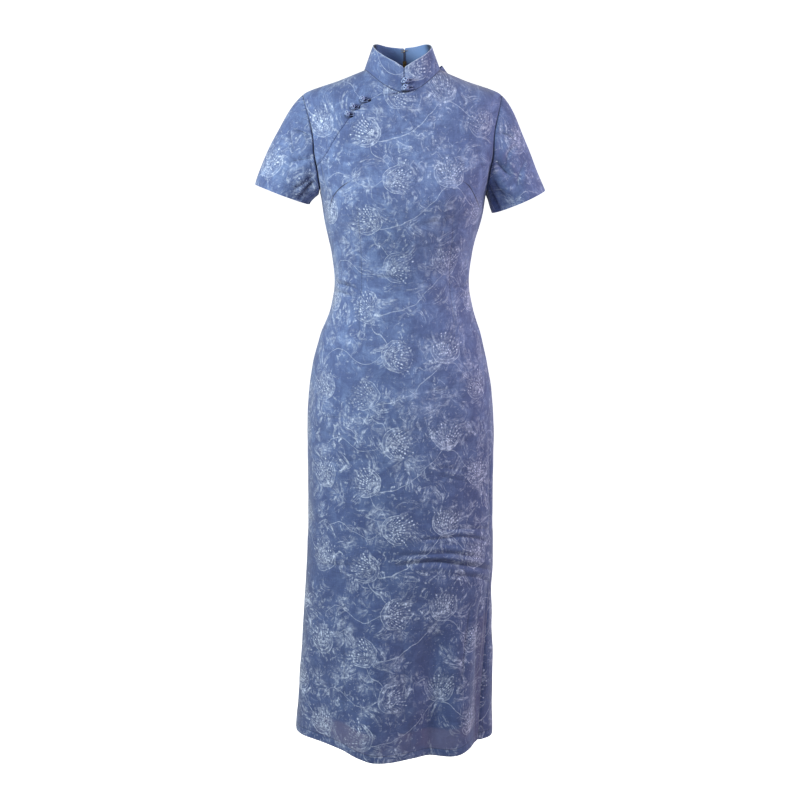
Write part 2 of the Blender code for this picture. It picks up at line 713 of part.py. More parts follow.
# --- Fastenings -------------------------------------------------------------------------------------
class Spot:
    """A place on a surface, with its directions: right is round the dress, up and out are the others."""

    def __init__(self, surface, facing, u, v):
        self.surface, self.facing, self.u, self.v = surface, facing, float(u), float(v)
        self.origin = self.at(self.u, self.v)
        self.out = self.normal(self.u, self.v)
        along = self.at(self.u + 0.002, self.v) - self.at(self.u - 0.002, self.v)
        along = along - self.out * along.dot(self.out)
        self.right = along / np.linalg.norm(along)
        self.up = np.cross(self.out, self.right)

    def at(self, u, v):
        return self.surface(np.array([u]), np.array([v]))[0]

    def normal(self, u, v):
        return self.facing(np.array([u]), np.array([v]))[0]

    def moved(self, right, up):
        """The place on the surface that lies this far to the right and up."""
        goal = self.origin + right * self.right + up * self.up
        u, v = self.u, self.v
        for _ in range(6):
            here = self.at(u, v)
            sideways, upward = self.at(u + 0.002, v) - here, self.at(u, v + 0.002) - here
            slope = np.stack([sideways, upward], axis=1) / 0.002
            step = np.linalg.lstsq(slope, goal - here, rcond=None)[0]
            u, v = u + step[0], v + step[1]
        return u, v

    def above(self, right, up, out):
        """A point this far above the surface, over the place that lies this far to the right and up."""
        u, v = self.moved(right, up)
        return self.at(u, v) + self.normal(u, v) * out

    def straight(self, right, up, out):
        return self.origin + right * self.right + up * self.up + out * self.out

    def own(self, point):
        """A point of the dress in this place's own frame."""
        away = point - self.origin
        return away.dot(self.right), away.dot(self.up), away.dot(self.out)

    def rotation(self):
        """Turns an object's X, Y and Z to this place's right, up and out."""
        return Matrix(np.array([self.right, self.up, self.out]).T.tolist()).to_euler()


def add_ball(build, name, spot, radius, stand):
    """A round button on its shank: a profile from its top down its outer side, turned full circle."""
    profile = [(0.0, stand + radius)]
    for turn in np.linspace(0, math.acos(-0.94), BALL_ROWS + 1)[1:]:
        profile.append((radius * math.sin(turn), stand + radius * math.cos(turn)))
    profile += [(SHANK, stand - radius * 0.97), (SHANK, CLEAR), (0.0, CLEAR)]
    mesh = bpy.data.meshes.new(name)
    ends = [(i, i + 1) for i in range(len(profile) - 1)]
    mesh.from_pydata([(reach, 0.0, out) for reach, out in profile], ends, [])
    found = add_part(build, name, mesh, CORD_LOOK, None, spot.origin, spot.rotation())
    screw = found.modifiers.new("turn", "SCREW")
    screw.steps = screw.render_steps = BALL_SIDES
    screw.use_merge_vertices = True
    screw.merge_threshold = 0.00001
    screw.use_smooth_shade = True
    return found


def add_cord(build, name, spot, path, radius, look, parent=None):
    """A round cord or wire along a path, given in the spot's own frame."""
    curve = bpy.data.curves.new(name, "CURVE")
    curve.dimensions = "3D"
    spline = curve.splines.new("POLY")
    spline.points.add(len(path) - 1)
    for point, place in zip(spline.points, path):
        point.co = (*place, 1.0)
    curve.bevel_depth = radius
    curve.bevel_resolution = 2
    curve.use_fill_caps = True
    return add_part(build, name, curve, look, parent, spot.origin, spot.rotation())


def loop_path(spot, aim, length, narrow, wide, end, height):
    """A cord loop that leads off in one direction and goes round the spot."""
    aim = np.array(aim) / np.linalg.norm(aim)
    cross = np.array([-aim[1], aim[0]])
    flat = [(length, narrow), (length * 0.62, narrow * 0.6 + wide * 0.4), (length * 0.25, wide)]
    for turn in np.linspace(90, 180, 4)[1:]:
        turn = math.radians(turn)
        flat.append((end * math.cos(turn), wide * math.sin(turn)))
    flat += [(a, -b) for a, b in reversed(flat[:-1])]
    return [spot.own(spot.above(*(a * aim + b * cross), height)) for a, b in flat]


def front_spot(place):
    """Where a ball sits on the front: beside the opening, at the drop where the opening passes."""
    edge = Spot(dress_point, dress_normal, LAPEL_ANGLE(place), place)
    way = edge.at(LAPEL_ANGLE(place + 0.002), place + 0.002) - edge.origin
    away = np.cross(edge.out, way / np.linalg.norm(way))
    away = FRONT_BALL_SHIFT * (away if away[0] < 0 else -away)
    return Spot(dress_point, dress_normal, *edge.moved(away.dot(edge.right), away.dot(edge.up)))


def make_fastenings(build):
    for number, fastening in enumerate(FASTENINGS, 1):
        height = CLEAR + fastening.cord
        wide = 0.0027 + (fastening.ball - 0.0043) * 0.5
        if fastening.on == "collar":
            middle = Spot(collar_surface, collar_normal, 0.0, fastening.place)
            spot = Spot(collar_surface, collar_normal, *middle.moved(COLLAR_BALL_SHIFT, 0.0))
            path = loop_path(spot, (1.0, 0.0), 0.0125, 0.0016, wide, 0.0068, height)
        else:
            spot = front_spot(fastening.place)
            path = loop_path(spot, FRONT_LOOP_AIM, 0.0095, 0.0013, wide, wide + 0.0004, height)
        add_ball(build, f"knot_button_{number}", spot, fastening.ball, fastening.stand)
        add_cord(build, f"button_loop_{number}", spot, path, fastening.cord, CORD_LOOK)


# --- Zip and hook -----------------------------------------------------------------------------------
def block_mesh(name, low, high):
    """A block between two corners."""
    low, high = np.array(low), np.array(high)
    shape = bmesh.new()
    bmesh.ops.create_cube(shape, size=1.0)
    bmesh.ops.scale(shape, vec=high - low, verts=shape.verts)
    bmesh.ops.translate(shape, vec=(low + high) / 2, verts=shape.verts)
    mesh = bpy.data.meshes.new(name)
    shape.to_mesh(mesh)
    shape.free()
    return mesh


def outline_mesh(name, outline, thickness):
    """A flat outline made solid to both sides: a filled curve, then a mesh with its caps joined on."""
    curve = bpy.data.curves.new(name, "CURVE")
    curve.dimensions = "2D"
    curve.fill_mode = "BOTH"
    curve.extrude = thickness / 2
    spline = curve.splines.new("POLY")
    spline.points.add(len(outline) - 1)
    for point, place in zip(spline.points, outline):
        point.co = (*place, 0.0, 1.0)
    spline.use_cyclic_u = True
    drawn = bpy.data.objects.new(name, curve)
    bpy.context.scene.collection.objects.link(drawn)
    graph = bpy.context.evaluated_depsgraph_get()
    mesh = bpy.data.meshes.new_from_object(drawn.evaluated_get(graph), depsgraph=graph)
    bpy.data.objects.remove(drawn)
    shape = bmesh.new()
    shape.from_mesh(mesh)
    bmesh.ops.remove_doubles(shape, verts=shape.verts, dist=0.000001)
    bmesh.ops.recalc_face_normals(shape, faces=shape.faces)
    shape.to_mesh(mesh)
    shape.free()
    return mesh


def combine(whole, other, how):
    change = whole.modifiers.new(how.lower(), "BOOLEAN")
    change.operation = how
    change.solver = "EXACT"
    change.object = other


def make_tape(build, inside_collar):
    """The zip's two closed tapes as one strip, behind the centre back seam and up into the collar."""
    drops = panel_drops()
    drops = drops[(drops > 0) & (drops <= ZIP_LENGTH)]
    across = np.array([-1.0, 0.0, 1.0]) * ZIP_TAPE_WIDTH / 2
    rows = []
    for height in ZIP_TAPE_HEIGHTS:
        angle = math.pi - NECK_TURN + across / COLLAR_FOOT_RADIUS
        here = np.full_like(angle, height)
        rows.append(collar_surface(angle, here) - collar_normal(angle, here) * inside_collar)
    for drop in drops:
        under_cloth = CLOTH + 1.5 * CLEAR
        depth = under_cloth + (inside_collar - under_cloth) * (1 - ease(drop / 0.03))
        angle = centre_back(drop) + across / RING_AT["half_width"](drop)
        here = np.full_like(angle, drop)
        rows.append(dress_point(angle, here) - dress_normal(angle, here) * depth)
    wall(build, "zip_tape", np.array(rows), ZIP_TAPE, LINING_LOOK)


def make_slider(build, place, deep):
    """The slider, whose plate lies this deep behind the collar's face, and its pull tab."""
    across, up, thick = SLIDER_PLATE_SIZE
    top = -deep - 0.0005
    plate = block_mesh("zip_slider", (-across / 2, -up / 2, top - thick), (across / 2, up / 2, top))
    slider = add_part(build, "zip_slider", plate, BRASS_LOOK, place)
    across, up = SLIDER_NECK_SIZE
    neck = block_mesh("neck", (-across / 2, -up / 2, top - 0.0005), (across / 2, up / 2, 0.0010))
    combine(slider, add_cutter(build, "slider_neck", neck, place), "UNION")
    face = block_mesh("face", *SLIDER_FACE)
    combine(slider, add_cutter(build, "slider_face", face, place), "UNION")
    arch = outline_mesh("arch", SLIDER_ARCH, SLIDER_ARCH_WIDTH)
    upright = (math.pi / 2, 0, math.pi / 2)  # the outline's X and Y become up and out
    arch = add_cutter(build, "slider_arch", arch, place, rotation=upright)
    hole = add_cutter(build, "slider_hole", block_mesh("hole", *SLIDER_HOLE), place)
    combine(slider, arch, "UNION")
    combine(slider, hole, "DIFFERENCE")

    outline = outline_mesh("zip_pull_tab", TAB_OUTLINE, TAB_THICKNESS)
    tab = add_part(build, "zip_pull_tab", outline, BRASS_LOOK, place, (0, 0, TAB_PIVOT))
    window = block_mesh("window", *TAB_WINDOW)
    combine(tab, add_cutter(build, "tab_window", window, place, (0, 0, TAB_PIVOT)), "DIFFERENCE")


def make_zip(build):
    inside_collar = COLLAR_CLOTH + SEAM + COLLAR_LINING + 2 * CLEAR
    make_tape(build, inside_collar)
    spot = Spot(collar_surface, collar_normal, math.pi - NECK_TURN, SLIDER_HEIGHT)
    place = add_empty(build, "slider_place", spot.origin, spot.rotation(), build.origin)
    make_slider(build, place, inside_collar - 2 * CLEAR)


def make_hook(build):
    spot = Spot(collar_surface, collar_normal, math.pi - NECK_TURN, HOOK_HEIGHT)
    add_cord(build, "collar_hook", spot, HOOK_PATH, HOOK_WIRE, BRASS_LOOK)
    add_cord(build, "collar_eye", spot, EYE_PATH, HOOK_WIRE, BRASS_LOOK)


def clear_scene():
    for found in list(bpy.data.objects):
        bpy.data.objects.remove(found)


def new_build():
    parts = bpy.data.collections.new("cheongsam")
    cutters = bpy.data.collections.new("cutters")
    cutters.hide_render = True
    for made in (parts, cutters):
        bpy.context.scene.collection.children.link(made)
    build = Build(parts, cutters, None)
    return build._replace(origin=add_empty(build, "shoulders"))


def main():
    clear_scene()
    build = new_build()
    make_fronts(build)
    make_backs(build)
    for cuff in CUFFS:
        make_sleeve(build, cuff)
    for name, side in (("left", 1), ("right", -1)):
        make_collar(build, "collar_" + name, side, 0.0, COLLAR_CLOTH, CLOTH_LOOK)
        depth = COLLAR_CLOTH + SEAM
        make_collar(build, "collar_lining_" + name, side, depth, COLLAR_LINING, LINING_LOOK)
    make_fastenings(build)
    make_zip(build)
    make_hook(build)


main()
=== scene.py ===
"""The looks of a cheongsam with short sleeves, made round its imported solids.

Units are metres. +Z is up, the wearer faces -Y, and the wearer's left is +X. The cloth follows the
same rings, folds and edges as the solids do, in finer steps, and adds creases, darts, seams and the
print. A place on the body of the dress is an angle round it (0 at the centre front, +90 degrees at
the wearer's left side, 180 at the centre back) and a drop below the side neck points, taken down
the side.
"""

import collections
import math

import bpy
import numpy as np
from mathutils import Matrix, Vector


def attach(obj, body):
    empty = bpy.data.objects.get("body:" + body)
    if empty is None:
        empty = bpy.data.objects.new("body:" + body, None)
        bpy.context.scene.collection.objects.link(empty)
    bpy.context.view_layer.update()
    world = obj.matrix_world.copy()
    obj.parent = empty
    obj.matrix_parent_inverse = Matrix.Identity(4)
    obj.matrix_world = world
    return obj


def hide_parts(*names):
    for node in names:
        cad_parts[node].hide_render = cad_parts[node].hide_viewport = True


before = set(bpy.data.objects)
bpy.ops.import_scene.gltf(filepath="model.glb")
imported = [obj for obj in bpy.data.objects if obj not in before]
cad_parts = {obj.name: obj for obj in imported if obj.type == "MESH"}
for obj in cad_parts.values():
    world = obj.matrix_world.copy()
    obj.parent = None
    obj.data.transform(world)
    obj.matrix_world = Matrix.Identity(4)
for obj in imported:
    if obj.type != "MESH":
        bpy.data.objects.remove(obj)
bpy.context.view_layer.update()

# --- Driving dimensions ---------------------------------------------------------------------------
CLOTH = 0.0009  # thickness of the dress cloth with its lining
COLLAR_CLOTH = 0.0014  # the collar's stiffened outer cloth
COLLAR_LINING = 0.0008
SEAM = 0.0003  # gap between two pieces at a seam
CLEAR = 0.0003  # gap between a trim and the cloth that it lies on
SHOULDER_TIP = 0.042  # drop of the shoulder's outer end
ARMPIT = 0.205  # drop of the lowest point of the armhole
WAIST = 0.358
HIP = 0.600
SLIT_TOP = 0.930  # drop at which each side slit starts
HEM = 1.178
SLIT_GAP = 0.0012  # how far the slit's two edges stand apart at the hem
FRONT_CORNERS = ((0, 0.020), (1, 0.010))  # the front's rounded corners where slits and hem meet
BACK_CORNER = 0.004
HEM_REACH = 0.080  # how far above the hem the rows bend to follow it
ARMHOLE_FRONT = 0.050  # how far the armhole reaches in front of the side line
ARMHOLE_BACK = 0.054
ARMHOLE_SKEW = 0.32  # how much further it reaches in its lower half than in its upper half
LAPEL_END = 0.1545  # drop at which the curved front opening meets the armhole
ZIP_TOP_GAP = 0.0024  # gap between the two backs at the neck, where the zip's slider sits
ZIP_TOP_LENGTH = 0.030  # drop over which that gap closes
NECK_TURN = math.radians(7.0)  # how far the back opening sits to the wearer's left at the neck
NECK_TURN_LENGTH = 0.35
EDGE_DIP_POWER = 2.5  # how quickly a ring rises from its dip at the centre to the sides

# Rings of the dress. half_width and lean are across, front and back are depths from the side line,
# the dips are how much further down the ring lies at the centre front and back, and the last two
# say how flat the ring is: 1 is an ellipse, less is squarer.
Ring = collections.namedtuple(
    "Ring", "drop half_width lean front back front_dip back_dip front_flat back_flat"
)
RINGS = [
    Ring(0.000, 0.0643, 0.000, 0.0600, 0.0560, 0.037, 0.008, 1.00, 1.00),  # neckline
    Ring(0.016, 0.1040, 0.000, 0.0680, 0.0660, 0.040, 0.014, 1.05, 1.05),
    Ring(0.042, 0.1690, 0.000, 0.0790, 0.0800, 0.045, 0.022, 1.15, 1.10),  # shoulder tips
    Ring(0.080, 0.1760, 0.000, 0.0900, 0.0920, 0.043, 0.022, 1.10, 1.05),
    Ring(0.125, 0.1720, 0.000, 0.1060, 0.1010, 0.034, 0.016, 1.00, 1.00),  # middle of the armhole
    Ring(0.170, 0.1550, 0.000, 0.1190, 0.1050, 0.022, 0.010, 0.92, 0.96),
    Ring(0.205, 0.1420, 0.001, 0.1240, 0.1050, 0.012, 0.006, 0.88, 0.94),  # armpit and bust
    Ring(0.260, 0.1320, 0.000, 0.1160, 0.1000, 0.004, 0.002, 0.90, 0.95),
    Ring(0.310, 0.1205, -0.001, 0.1040, 0.0900, 0.000, 0.000, 0.92, 0.95),
    Ring(0.358, 0.1160, -0.001, 0.0960, 0.0820, 0.000, 0.000, 0.92, 0.92),  # waist
    Ring(0.400, 0.1225, -0.001, 0.1000, 0.0900, 0.000, 0.000, 0.90, 0.90),
    Ring(0.450, 0.1385, -0.003, 0.1080, 0.1060, 0.000, 0.000, 0.88, 0.88),
    Ring(0.500, 0.1520, -0.004, 0.1150, 0.1180, 0.000, 0.000, 0.88, 0.86),
    Ring(0.600, 0.1630, -0.003, 0.1210, 0.1220, 0.000, 0.000, 0.90, 0.88),  # hips
    Ring(0.760, 0.1630, -0.003, 0.1210, 0.1140, 0.000, 0.000, 0.90, 0.90),
    Ring(0.930, 0.1680, -0.007, 0.1190, 0.1110, 0.000, 0.000, 0.92, 0.92),  # slits start
    Ring(1.060, 0.1730, -0.011, 0.1210, 0.1120, 0.000, 0.000, 0.94, 0.94),
    Ring(1.178, 0.1785, -0.015, 0.1240, 0.1140, 0.000, 0.000, 0.95, 0.95),  # hem
]

# How far the wearer's left side seam, and its slit, swing to the front: a drop and an angle.
Swing = collections.namedtuple("Swing", "drop degrees")
SWINGS = [
    Swing(0.660, 0.0),
    Swing(0.800, 9.0),
    Swing(0.930, 20.0),
    Swing(1.060, 24.0),
    Swing(1.178, 26.0),
]

# How much the hem rises above its lowest line, round the dress from the centre back.
Lift = collections.namedtuple("Lift", "degrees rise")
HEM_LIFTS = [
    Lift(-180, 0.000),
    Lift(-130, 0.003),
    Lift(-105, 0.010),
    Lift(-88, 0.0155),
    Lift(-66, 0.0163),
    Lift(-48, 0.0138),
    Lift(-33, 0.0112),
    Lift(-22, 0.0032),
    Lift(-12, -0.0020),
    Lift(-3, -0.0030),
    Lift(8, -0.0012),
    Lift(19, -0.0028),
    Lift(32, -0.0054),
    Lift(46, 0.0000),
    Lift(60, 0.0020),
    Lift(85, 0.0030),
    Lift(120, 0.0020),
    Lift(180, 0.000),
]

# Folds that hang in the skirt: where round the dress, how wide, how far out at the hem (or in, if
# less than 0), and the drop at which each starts. Angles and widths are in degrees.
Fold = collections.namedtuple("Fold", "angle width out start")
FOLDS = [
    Fold(-14, 14, 0.019, 0.80),
    Fold(20, 9, -0.017, 0.86),
    Fold(39, 8, 0.006, 0.94),
    Fold(60, 11, -0.015, 0.84),
    Fold(-52, 16, -0.010, 0.86),
    Fold(118, 13, 0.010, 0.84),
    Fold(142, 11, -0.009, 0.88),
    Fold(164, 12, 0.012, 0.82),
    Fold(-168, 10, -0.010, 0.90),
    Fold(-146, 13, 0.013, 0.84),
    Fold(-118, 12, -0.009, 0.88),
]

# Soft swellings over the general figure: angle and width in degrees, drop and height of the middle.
Swell = collections.namedtuple("Swell", "angle width drop height out")
SWELLS = [
    Swell(38, 20, 0.205, 0.055, 0.007),  # bust
    Swell(-38, 20, 0.205, 0.055, 0.007),
    Swell(150, 22, 0.150, 0.080, 0.004),  # shoulder blades
    Swell(-150, 22, 0.150, 0.080, 0.004),
    Swell(148, 24, 0.560, 0.080, 0.005),  # seat
    Swell(-148, 24, 0.560, 0.080, 0.005),
]

# The curved front opening, from the centre of the neckline to the armhole on the wearer's right.
Lapel = collections.namedtuple("Lapel", "drop degrees")
LAPEL = [
    Lapel(0.0000, -3.0),
    Lapel(0.0040, -12.0),
    Lapel(0.0090, -21.5),
    Lapel(0.0135, -27.2),
    Lapel(0.0185, -30.2),
    Lapel(0.0260, -31.0),
    Lapel(0.0360, -31.2),
    Lapel(0.0450, -31.8),
    Lapel(0.0580, -33.7),
    Lapel(0.0760, -37.4),
    Lapel(0.1000, -42.6),
    Lapel(0.1280, -49.6),
    Lapel(0.1460, -57.6),
    Lapel(LAPEL_END, -64.0),
]

# Cuffs, one row for each sleeve: side is +1 for the wearer's left, tilt turns the cuff's plane and
# flare is how far from straight down the sleeve reaches it, both in degrees.
Cuff = collections.namedtuple("Cuff", "name side x z half_across half_deep tilt flare")
CUFFS = [
    Cuff("sleeve_left", 1, 0.1995, -0.2215, 0.0490, 0.0500, 23.0, 24.0),
    Cuff("sleeve_right", -1, 0.2040, -0.2080, 0.0486, 0.0500, 20.5, 13.0),
]
CAP_TOP = math.radians(50.0)  # how far from straight down the sleeve leaves the shoulder tip
CAP_BOTTOM = math.radians(14.0)  # and where it leaves the armpit
CAP_PULL = 0.55  # how far the sleeve keeps on in that direction
CAP_SPREAD = 0.45  # how much the sleeve head swells to the front and back

# The stand collar: how high its top edge is round the neck, from the centre front.
Top = collections.namedtuple("Top", "degrees z")
COLLAR_TOPS = [
    Top(0, 0.0045),
    Top(8, 0.0075),
    Top(14, 0.0112),
    Top(24, 0.0158),
    Top(40, 0.0225),
    Top(60, 0.0306),
    Top(90, 0.0400),
    Top(122, 0.0440),
    Top(155, 0.0400),
    Top(180, 0.0380),
]
COLLAR_TOP_HALF_WIDTH = 0.0497
COLLAR_TOP_FRONT = 0.0515
COLLAR_TOP_BACK = 0.0485
COLLAR_FOOT_LIFT = 0.0005  # clears the neckline's edge
COLLAR_FRONT_GAP = 0.0008
COLLAR_BACK_GAPS = [  # height on the collar, and the gap there at the centre back
    (1.00, 0.0004),
    (0.75, 0.0004),
    (0.56, 0.0019),
    (0.28, 0.0022),
    (0.00, 0.0024),
]
COLLAR_FRONT_CORNER = 0.0050  # radius of the rounded front corners
COLLAR_BACK_CORNER = 0.0035
COLLAR_TALL = 0.045
# The heights on the collar between which the zip's teeth show, and half their width.
ZIP_TEETH = ((0.30, 0.86), 0.0019)

# Ball buttons of knotted cord, each with a loop round its shank. On the collar a place is a height
# from 0 at its foot to 1 at its top; on the front it is the drop at which the opening passes.
Fastening = collections.namedtuple("Fastening", "on place ball stand cord")
FASTENINGS = [
    Fastening("collar", 0.431, 0.0060, 0.0079, 0.0009),
    Fastening("collar", 0.149, 0.0060, 0.0079, 0.0009),
    Fastening("front", 0.0245, 0.0050, 0.0067, 0.0008),
    Fastening("front", 0.0345, 0.0050, 0.0067, 0.0008),
    Fastening("front", 0.0450, 0.0050, 0.0067, 0.0008),
]
COLLAR_BALL_SHIFT = 0.0020  # towards the wearer's left
FRONT_BALL_SHIFT = 0.0043  # from the opening's edge
# Loops: the way each leads from its ball, across and up, how far, half its width there, and how far
# it reaches round the ball's other side. Half its width at the ball grows with the ball.
Loop = collections.namedtuple("Loop", "aim length narrow end")
LOOPS = {
    "collar": Loop((1.0, 0.0), 0.0125, 0.0016, 0.0068),
    "front": Loop((0.95, 0.30), 0.0095, 0.0013, 0.00345),
}
LOOP_WIDE, LOOP_WIDE_BALL = 0.0027, 0.0043  # half a loop's width, and the ball that it goes with
SHANK = 0.0010
# The strand of a knot in shares of its ball's radius, then how far its core and its path lie in
# from the ball, and how far the path weaves, each in strands.
KNOT_STRAND, KNOT_CORE, KNOT_PATH, KNOT_WEAVE = 0.20, 1.6, 1.35, 0.45
KNOT_LEAN = math.radians(52)  # how far the strand climbs from the ball's middle
KNOT_SHADE = {"collar": 0.75, "front": 0.45}  # how dark the shade under a knot is
KNOT_SHADE_DROP = 0.0010
KNOT_SHADE_END, KNOT_SHADE_START = 1.60, 0.95  # its radii, in shares of the ball's

# How many rows and columns the cloth has.
NECK_ROWS = 14
ARMHOLE_ROWS = 56
ROW_BANDS = [  # the drop at which each band of rows ends, and how many rows it has
    (0.330, 34),
    (WAIST, 14),
    (0.390, 16),
    (HIP, 48),
    (0.772, 42),
    (0.900, 78),
    (SLIT_TOP, 8),
    (HEM, 62),
]
FRONT_COLUMNS = 124
SHOULDER_COLUMNS = 60
BACK_COLUMNS = 70
SLEEVE_ROWS = 90
SLEEVE_COLUMNS = 160
COLLAR_ROWS = 20
COLLAR_COLUMNS = 90

# Creases: a path of places, in degrees and metres, how deep and how wide the trough is, and how
# much of its depth the ridge above it (to the left of the path) stands out. In millimetres.
Crease = collections.namedtuple("Crease", "path deep width ridge")
FRONT_CREASES = [
    # across the thighs
    Crease([(8.3, 0.787), (32.7, 0.787), (74.6, 0.813)], 1.8, 3.6, 0.6),
    Crease([(-5.4, 0.814), (22.3, 0.813), (62.4, 0.837)], 2.2, 4.0, 0.7),
    Crease([(-8.1, 0.832), (16.1, 0.827), (45.2, 0.843), (79.6, 0.869)], 2.9, 4.6, 0.8),
    Crease([(28, 0.853), (52, 0.866), (76, 0.893)], 1.6, 4.0, 0.5),
    Crease([(-60, 0.842), (-42, 0.836), (-24, 0.829)], 1.1, 5.0, 0.5),
    Crease([(22, 0.770), (50, 0.778), (80, 0.795)], 1.4, 4.0, 0.5),
    # hips
    Crease([(15.1, 0.529), (32.5, 0.529)], 1.3, 3.0, 0.6),
    Crease([(-60.1, 0.581), (-32.5, 0.576)], 1.0, 3.6, 0.5),
    Crease([(-60.1, 0.601), (-37.5, 0.616)], 1.0, 3.6, 0.5),
    Crease([(17.3, 0.664), (24.5, 0.663), (40, 0.672)], 1.3, 3.4, 0.6),
    Crease([(14.1, 0.672), (29.3, 0.682), (44.2, 0.693)], 1.3, 3.4, 0.6),
    Crease([(-78, 0.645), (-50, 0.655), (-26, 0.648)], 1.0, 6.0, 0.5),
    Crease([(65.4, 0.610), (70.0, 0.710), (72.1, 0.810)], 1.8, 5.0, 0.6),
    Crease([(50, 0.560), (56, 0.640), (55, 0.720)], 1.0, 6.0, 0.5),
    # waist
    Crease([(-82.8, 0.355), (-52.7, 0.359), (-38, 0.366)], 2.5, 4.0, 0.8),
    Crease([(-84, 0.372), (-71.3, 0.370), (-40.2, 0.376)], 1.9, 4.0, 0.7),
    Crease([(-26.5, 0.345), (-15.6, 0.340), (-4, 0.345)], 1.3, 3.6, 0.6),
    Crease([(82, 0.352), (58, 0.362), (44, 0.358)], 1.7, 4.0, 0.7),
    Crease([(84, 0.380), (66, 0.376), (48, 0.384)], 1.0, 4.0, 0.6),
    Crease([(5.9, 0.255), (16.3, 0.243), (25.3, 0.242), (28.8, 0.249)], 1.1, 3.0, 0.6),
    Crease([(28.3, 0.242), (34.2, 0.233)], 1.0, 2.6, 0.6),
    Crease([(-24, 0.300), (-8, 0.306), (6, 0.300)], 0.7, 5.0, 0.5),
    # round the armholes
    Crease([(-52.4, 0.122), (-60, 0.160), (-66.4, 0.196)], 1.8, 4.4, 0.8),
    Crease([(-46.7, 0.127), (-51, 0.145), (-54.4, 0.166)], 1.3, 3.4, 0.6),
    Crease([(-58, 0.112), (-68, 0.150), (-74, 0.190)], 1.5, 4.0, 0.6),
    Crease([(52.2, 0.122), (66, 0.165), (78, 0.210)], 1.8, 4.6, 0.8),
    Crease([(58, 0.110), (70, 0.150), (77, 0.190)], 1.4, 3.6, 0.6),
    Crease([(45, 0.132), (52, 0.152), (58, 0.176)], 1.0, 3.6, 0.6),
    # down the skirt
    Crease([(46.9, 0.909), (42, 0.990), (38.2, 1.054)], 2.6, 7.0, 0.7),
    Crease([(8.3, 1.108), (7.4, 1.130), (6.8, 1.165)], 1.4, 5.0, 0.6),
    Crease([(-38, 0.900), (-35, 1.000), (-33, 1.110)], 1.6, 9.0, 0.5),
    Crease([(-2, 0.930), (2, 1.010), (3, 1.120)], 1.1, 8.0, 0.5),
    Crease([(58, 0.900), (56, 1.000), (57, 1.090)], 1.8, 6.0, 0.7),
    Crease([(68, 0.880), (66, 0.960), (64, 1.040)], 1.6, 5.0, 0.7),
    Crease([(73, 0.905), (72, 0.960), (74, 1.040), (71, 1.110)], 1.8, 3.4, 0.7),
    Crease([(80, 0.915), (79, 1.000), (81, 1.080)], 1.4, 3.0, 0.7),
    # under the bust
    Crease([(12, 0.205), (26, 0.212), (34, 0.206)], 0.8, 5.0, 0.5),
    Crease([(-12, 0.150), (-22, 0.140), (-28, 0.120)], 0.8, 5.0, 0.5),
]
BACK_CREASES = [
    Crease([(120, 0.062), (138, 0.070), (160, 0.064)], 1.0, 6.0, 0.5),
    Crease([(-120, 0.060), (-140, 0.069), (-158, 0.065)], 1.0, 6.0, 0.5),
    Crease([(104, 0.120), (112, 0.160), (110, 0.200)], 1.8, 5.0, 0.7),
    Crease([(112, 0.115), (122, 0.155), (126, 0.190)], 1.3, 4.4, 0.6),
    Crease([(-104, 0.120), (-113, 0.158), (-111, 0.198)], 1.8, 5.0, 0.7),
    Crease([(-114, 0.118), (-122, 0.150), (-128, 0.186)], 1.1, 4.4, 0.6),
    Crease([(98, 0.352), (120, 0.357), (150, 0.352)], 2.1, 4.6, 0.8),
    Crease([(96, 0.372), (124, 0.376), (160, 0.384)], 1.8, 4.4, 0.7),
    Crease([(108, 0.330), (130, 0.336), (148, 0.331)], 1.3, 4.4, 0.7),
    Crease([(-98, 0.350), (-122, 0.358), (-154, 0.354)], 2.1, 4.6, 0.8),
    Crease([(-97, 0.378), (-120, 0.374), (-148, 0.380)], 1.5, 4.2, 0.7),
    Crease([(-112, 0.326), (-134, 0.332), (-160, 0.328)], 1.4, 4.6, 0.7),
    Crease([(112, 0.690), (136, 0.700), (166, 0.694)], 1.8, 5.0, 0.7),
    Crease([(104, 0.724), (130, 0.728), (158, 0.738)], 1.4, 4.6, 0.6),
    Crease([(-108, 0.684), (-136, 0.694), (-170, 0.690)], 2.0, 5.0, 0.7),
    Crease([(-102, 0.718), (-128, 0.730), (-150, 0.726)], 1.3, 4.6, 0.6),
    Crease([(118, 0.812), (140, 0.822), (170, 0.814)], 1.8, 4.6, 0.7),
    Crease([(-100, 0.800), (-126, 0.812), (-150, 0.806)], 1.6, 4.4, 0.7),
    Crease([(-120, 0.838), (-142, 0.846), (-168, 0.842)], 1.3, 4.4, 0.6),
    Crease([(132, 0.900), (135, 1.000), (134, 1.110)], 2.1, 8.0, 0.6),
    Crease([(-134, 0.910), (-131, 1.000), (-132, 1.100)], 1.8, 8.0, 0.6),
    Crease([(154, 0.940), (156, 1.030), (154, 1.130)], 1.5, 7.0, 0.6),
]
# Darts: stitched paths from their tips inwards, drawn sharp in the finish and shallow in the cloth.
Dart = collections.namedtuple("Dart", "path deep width dark")
FRONT_DARTS = [
    Dart(
        [(-31.6, 0.163), (-34.7, 0.168), (-46.2, 0.187), (-58.9, 0.209), (-66.0, 0.231)],
        1.2, 3.2, 0.85,
    ),
    Dart([(34.5, 0.166), (41.5, 0.178), (52.9, 0.203), (68.1, 0.230)], 1.2, 3.2, 0.85),
    Dart([(-32.7, 0.189), (-35, 0.260), (-39.0, 0.379), (-31.5, 0.455)], 1.0, 3.4, 0.30),
    Dart([(30.7, 0.214), (38.0, 0.278), (42.9, 0.389), (37.7, 0.457)], 1.0, 3.4, 0.30),
]
BACK_DARTS = [
    Dart([(146, 0.190), (142, 0.270), (139, 0.370), (145, 0.480)], 1.0, 3.4, 0.30),
    Dart([(-146, 0.190), (-142, 0.270), (-139, 0.370), (-145, 0.480)], 1.0, 3.4, 0.30),
]
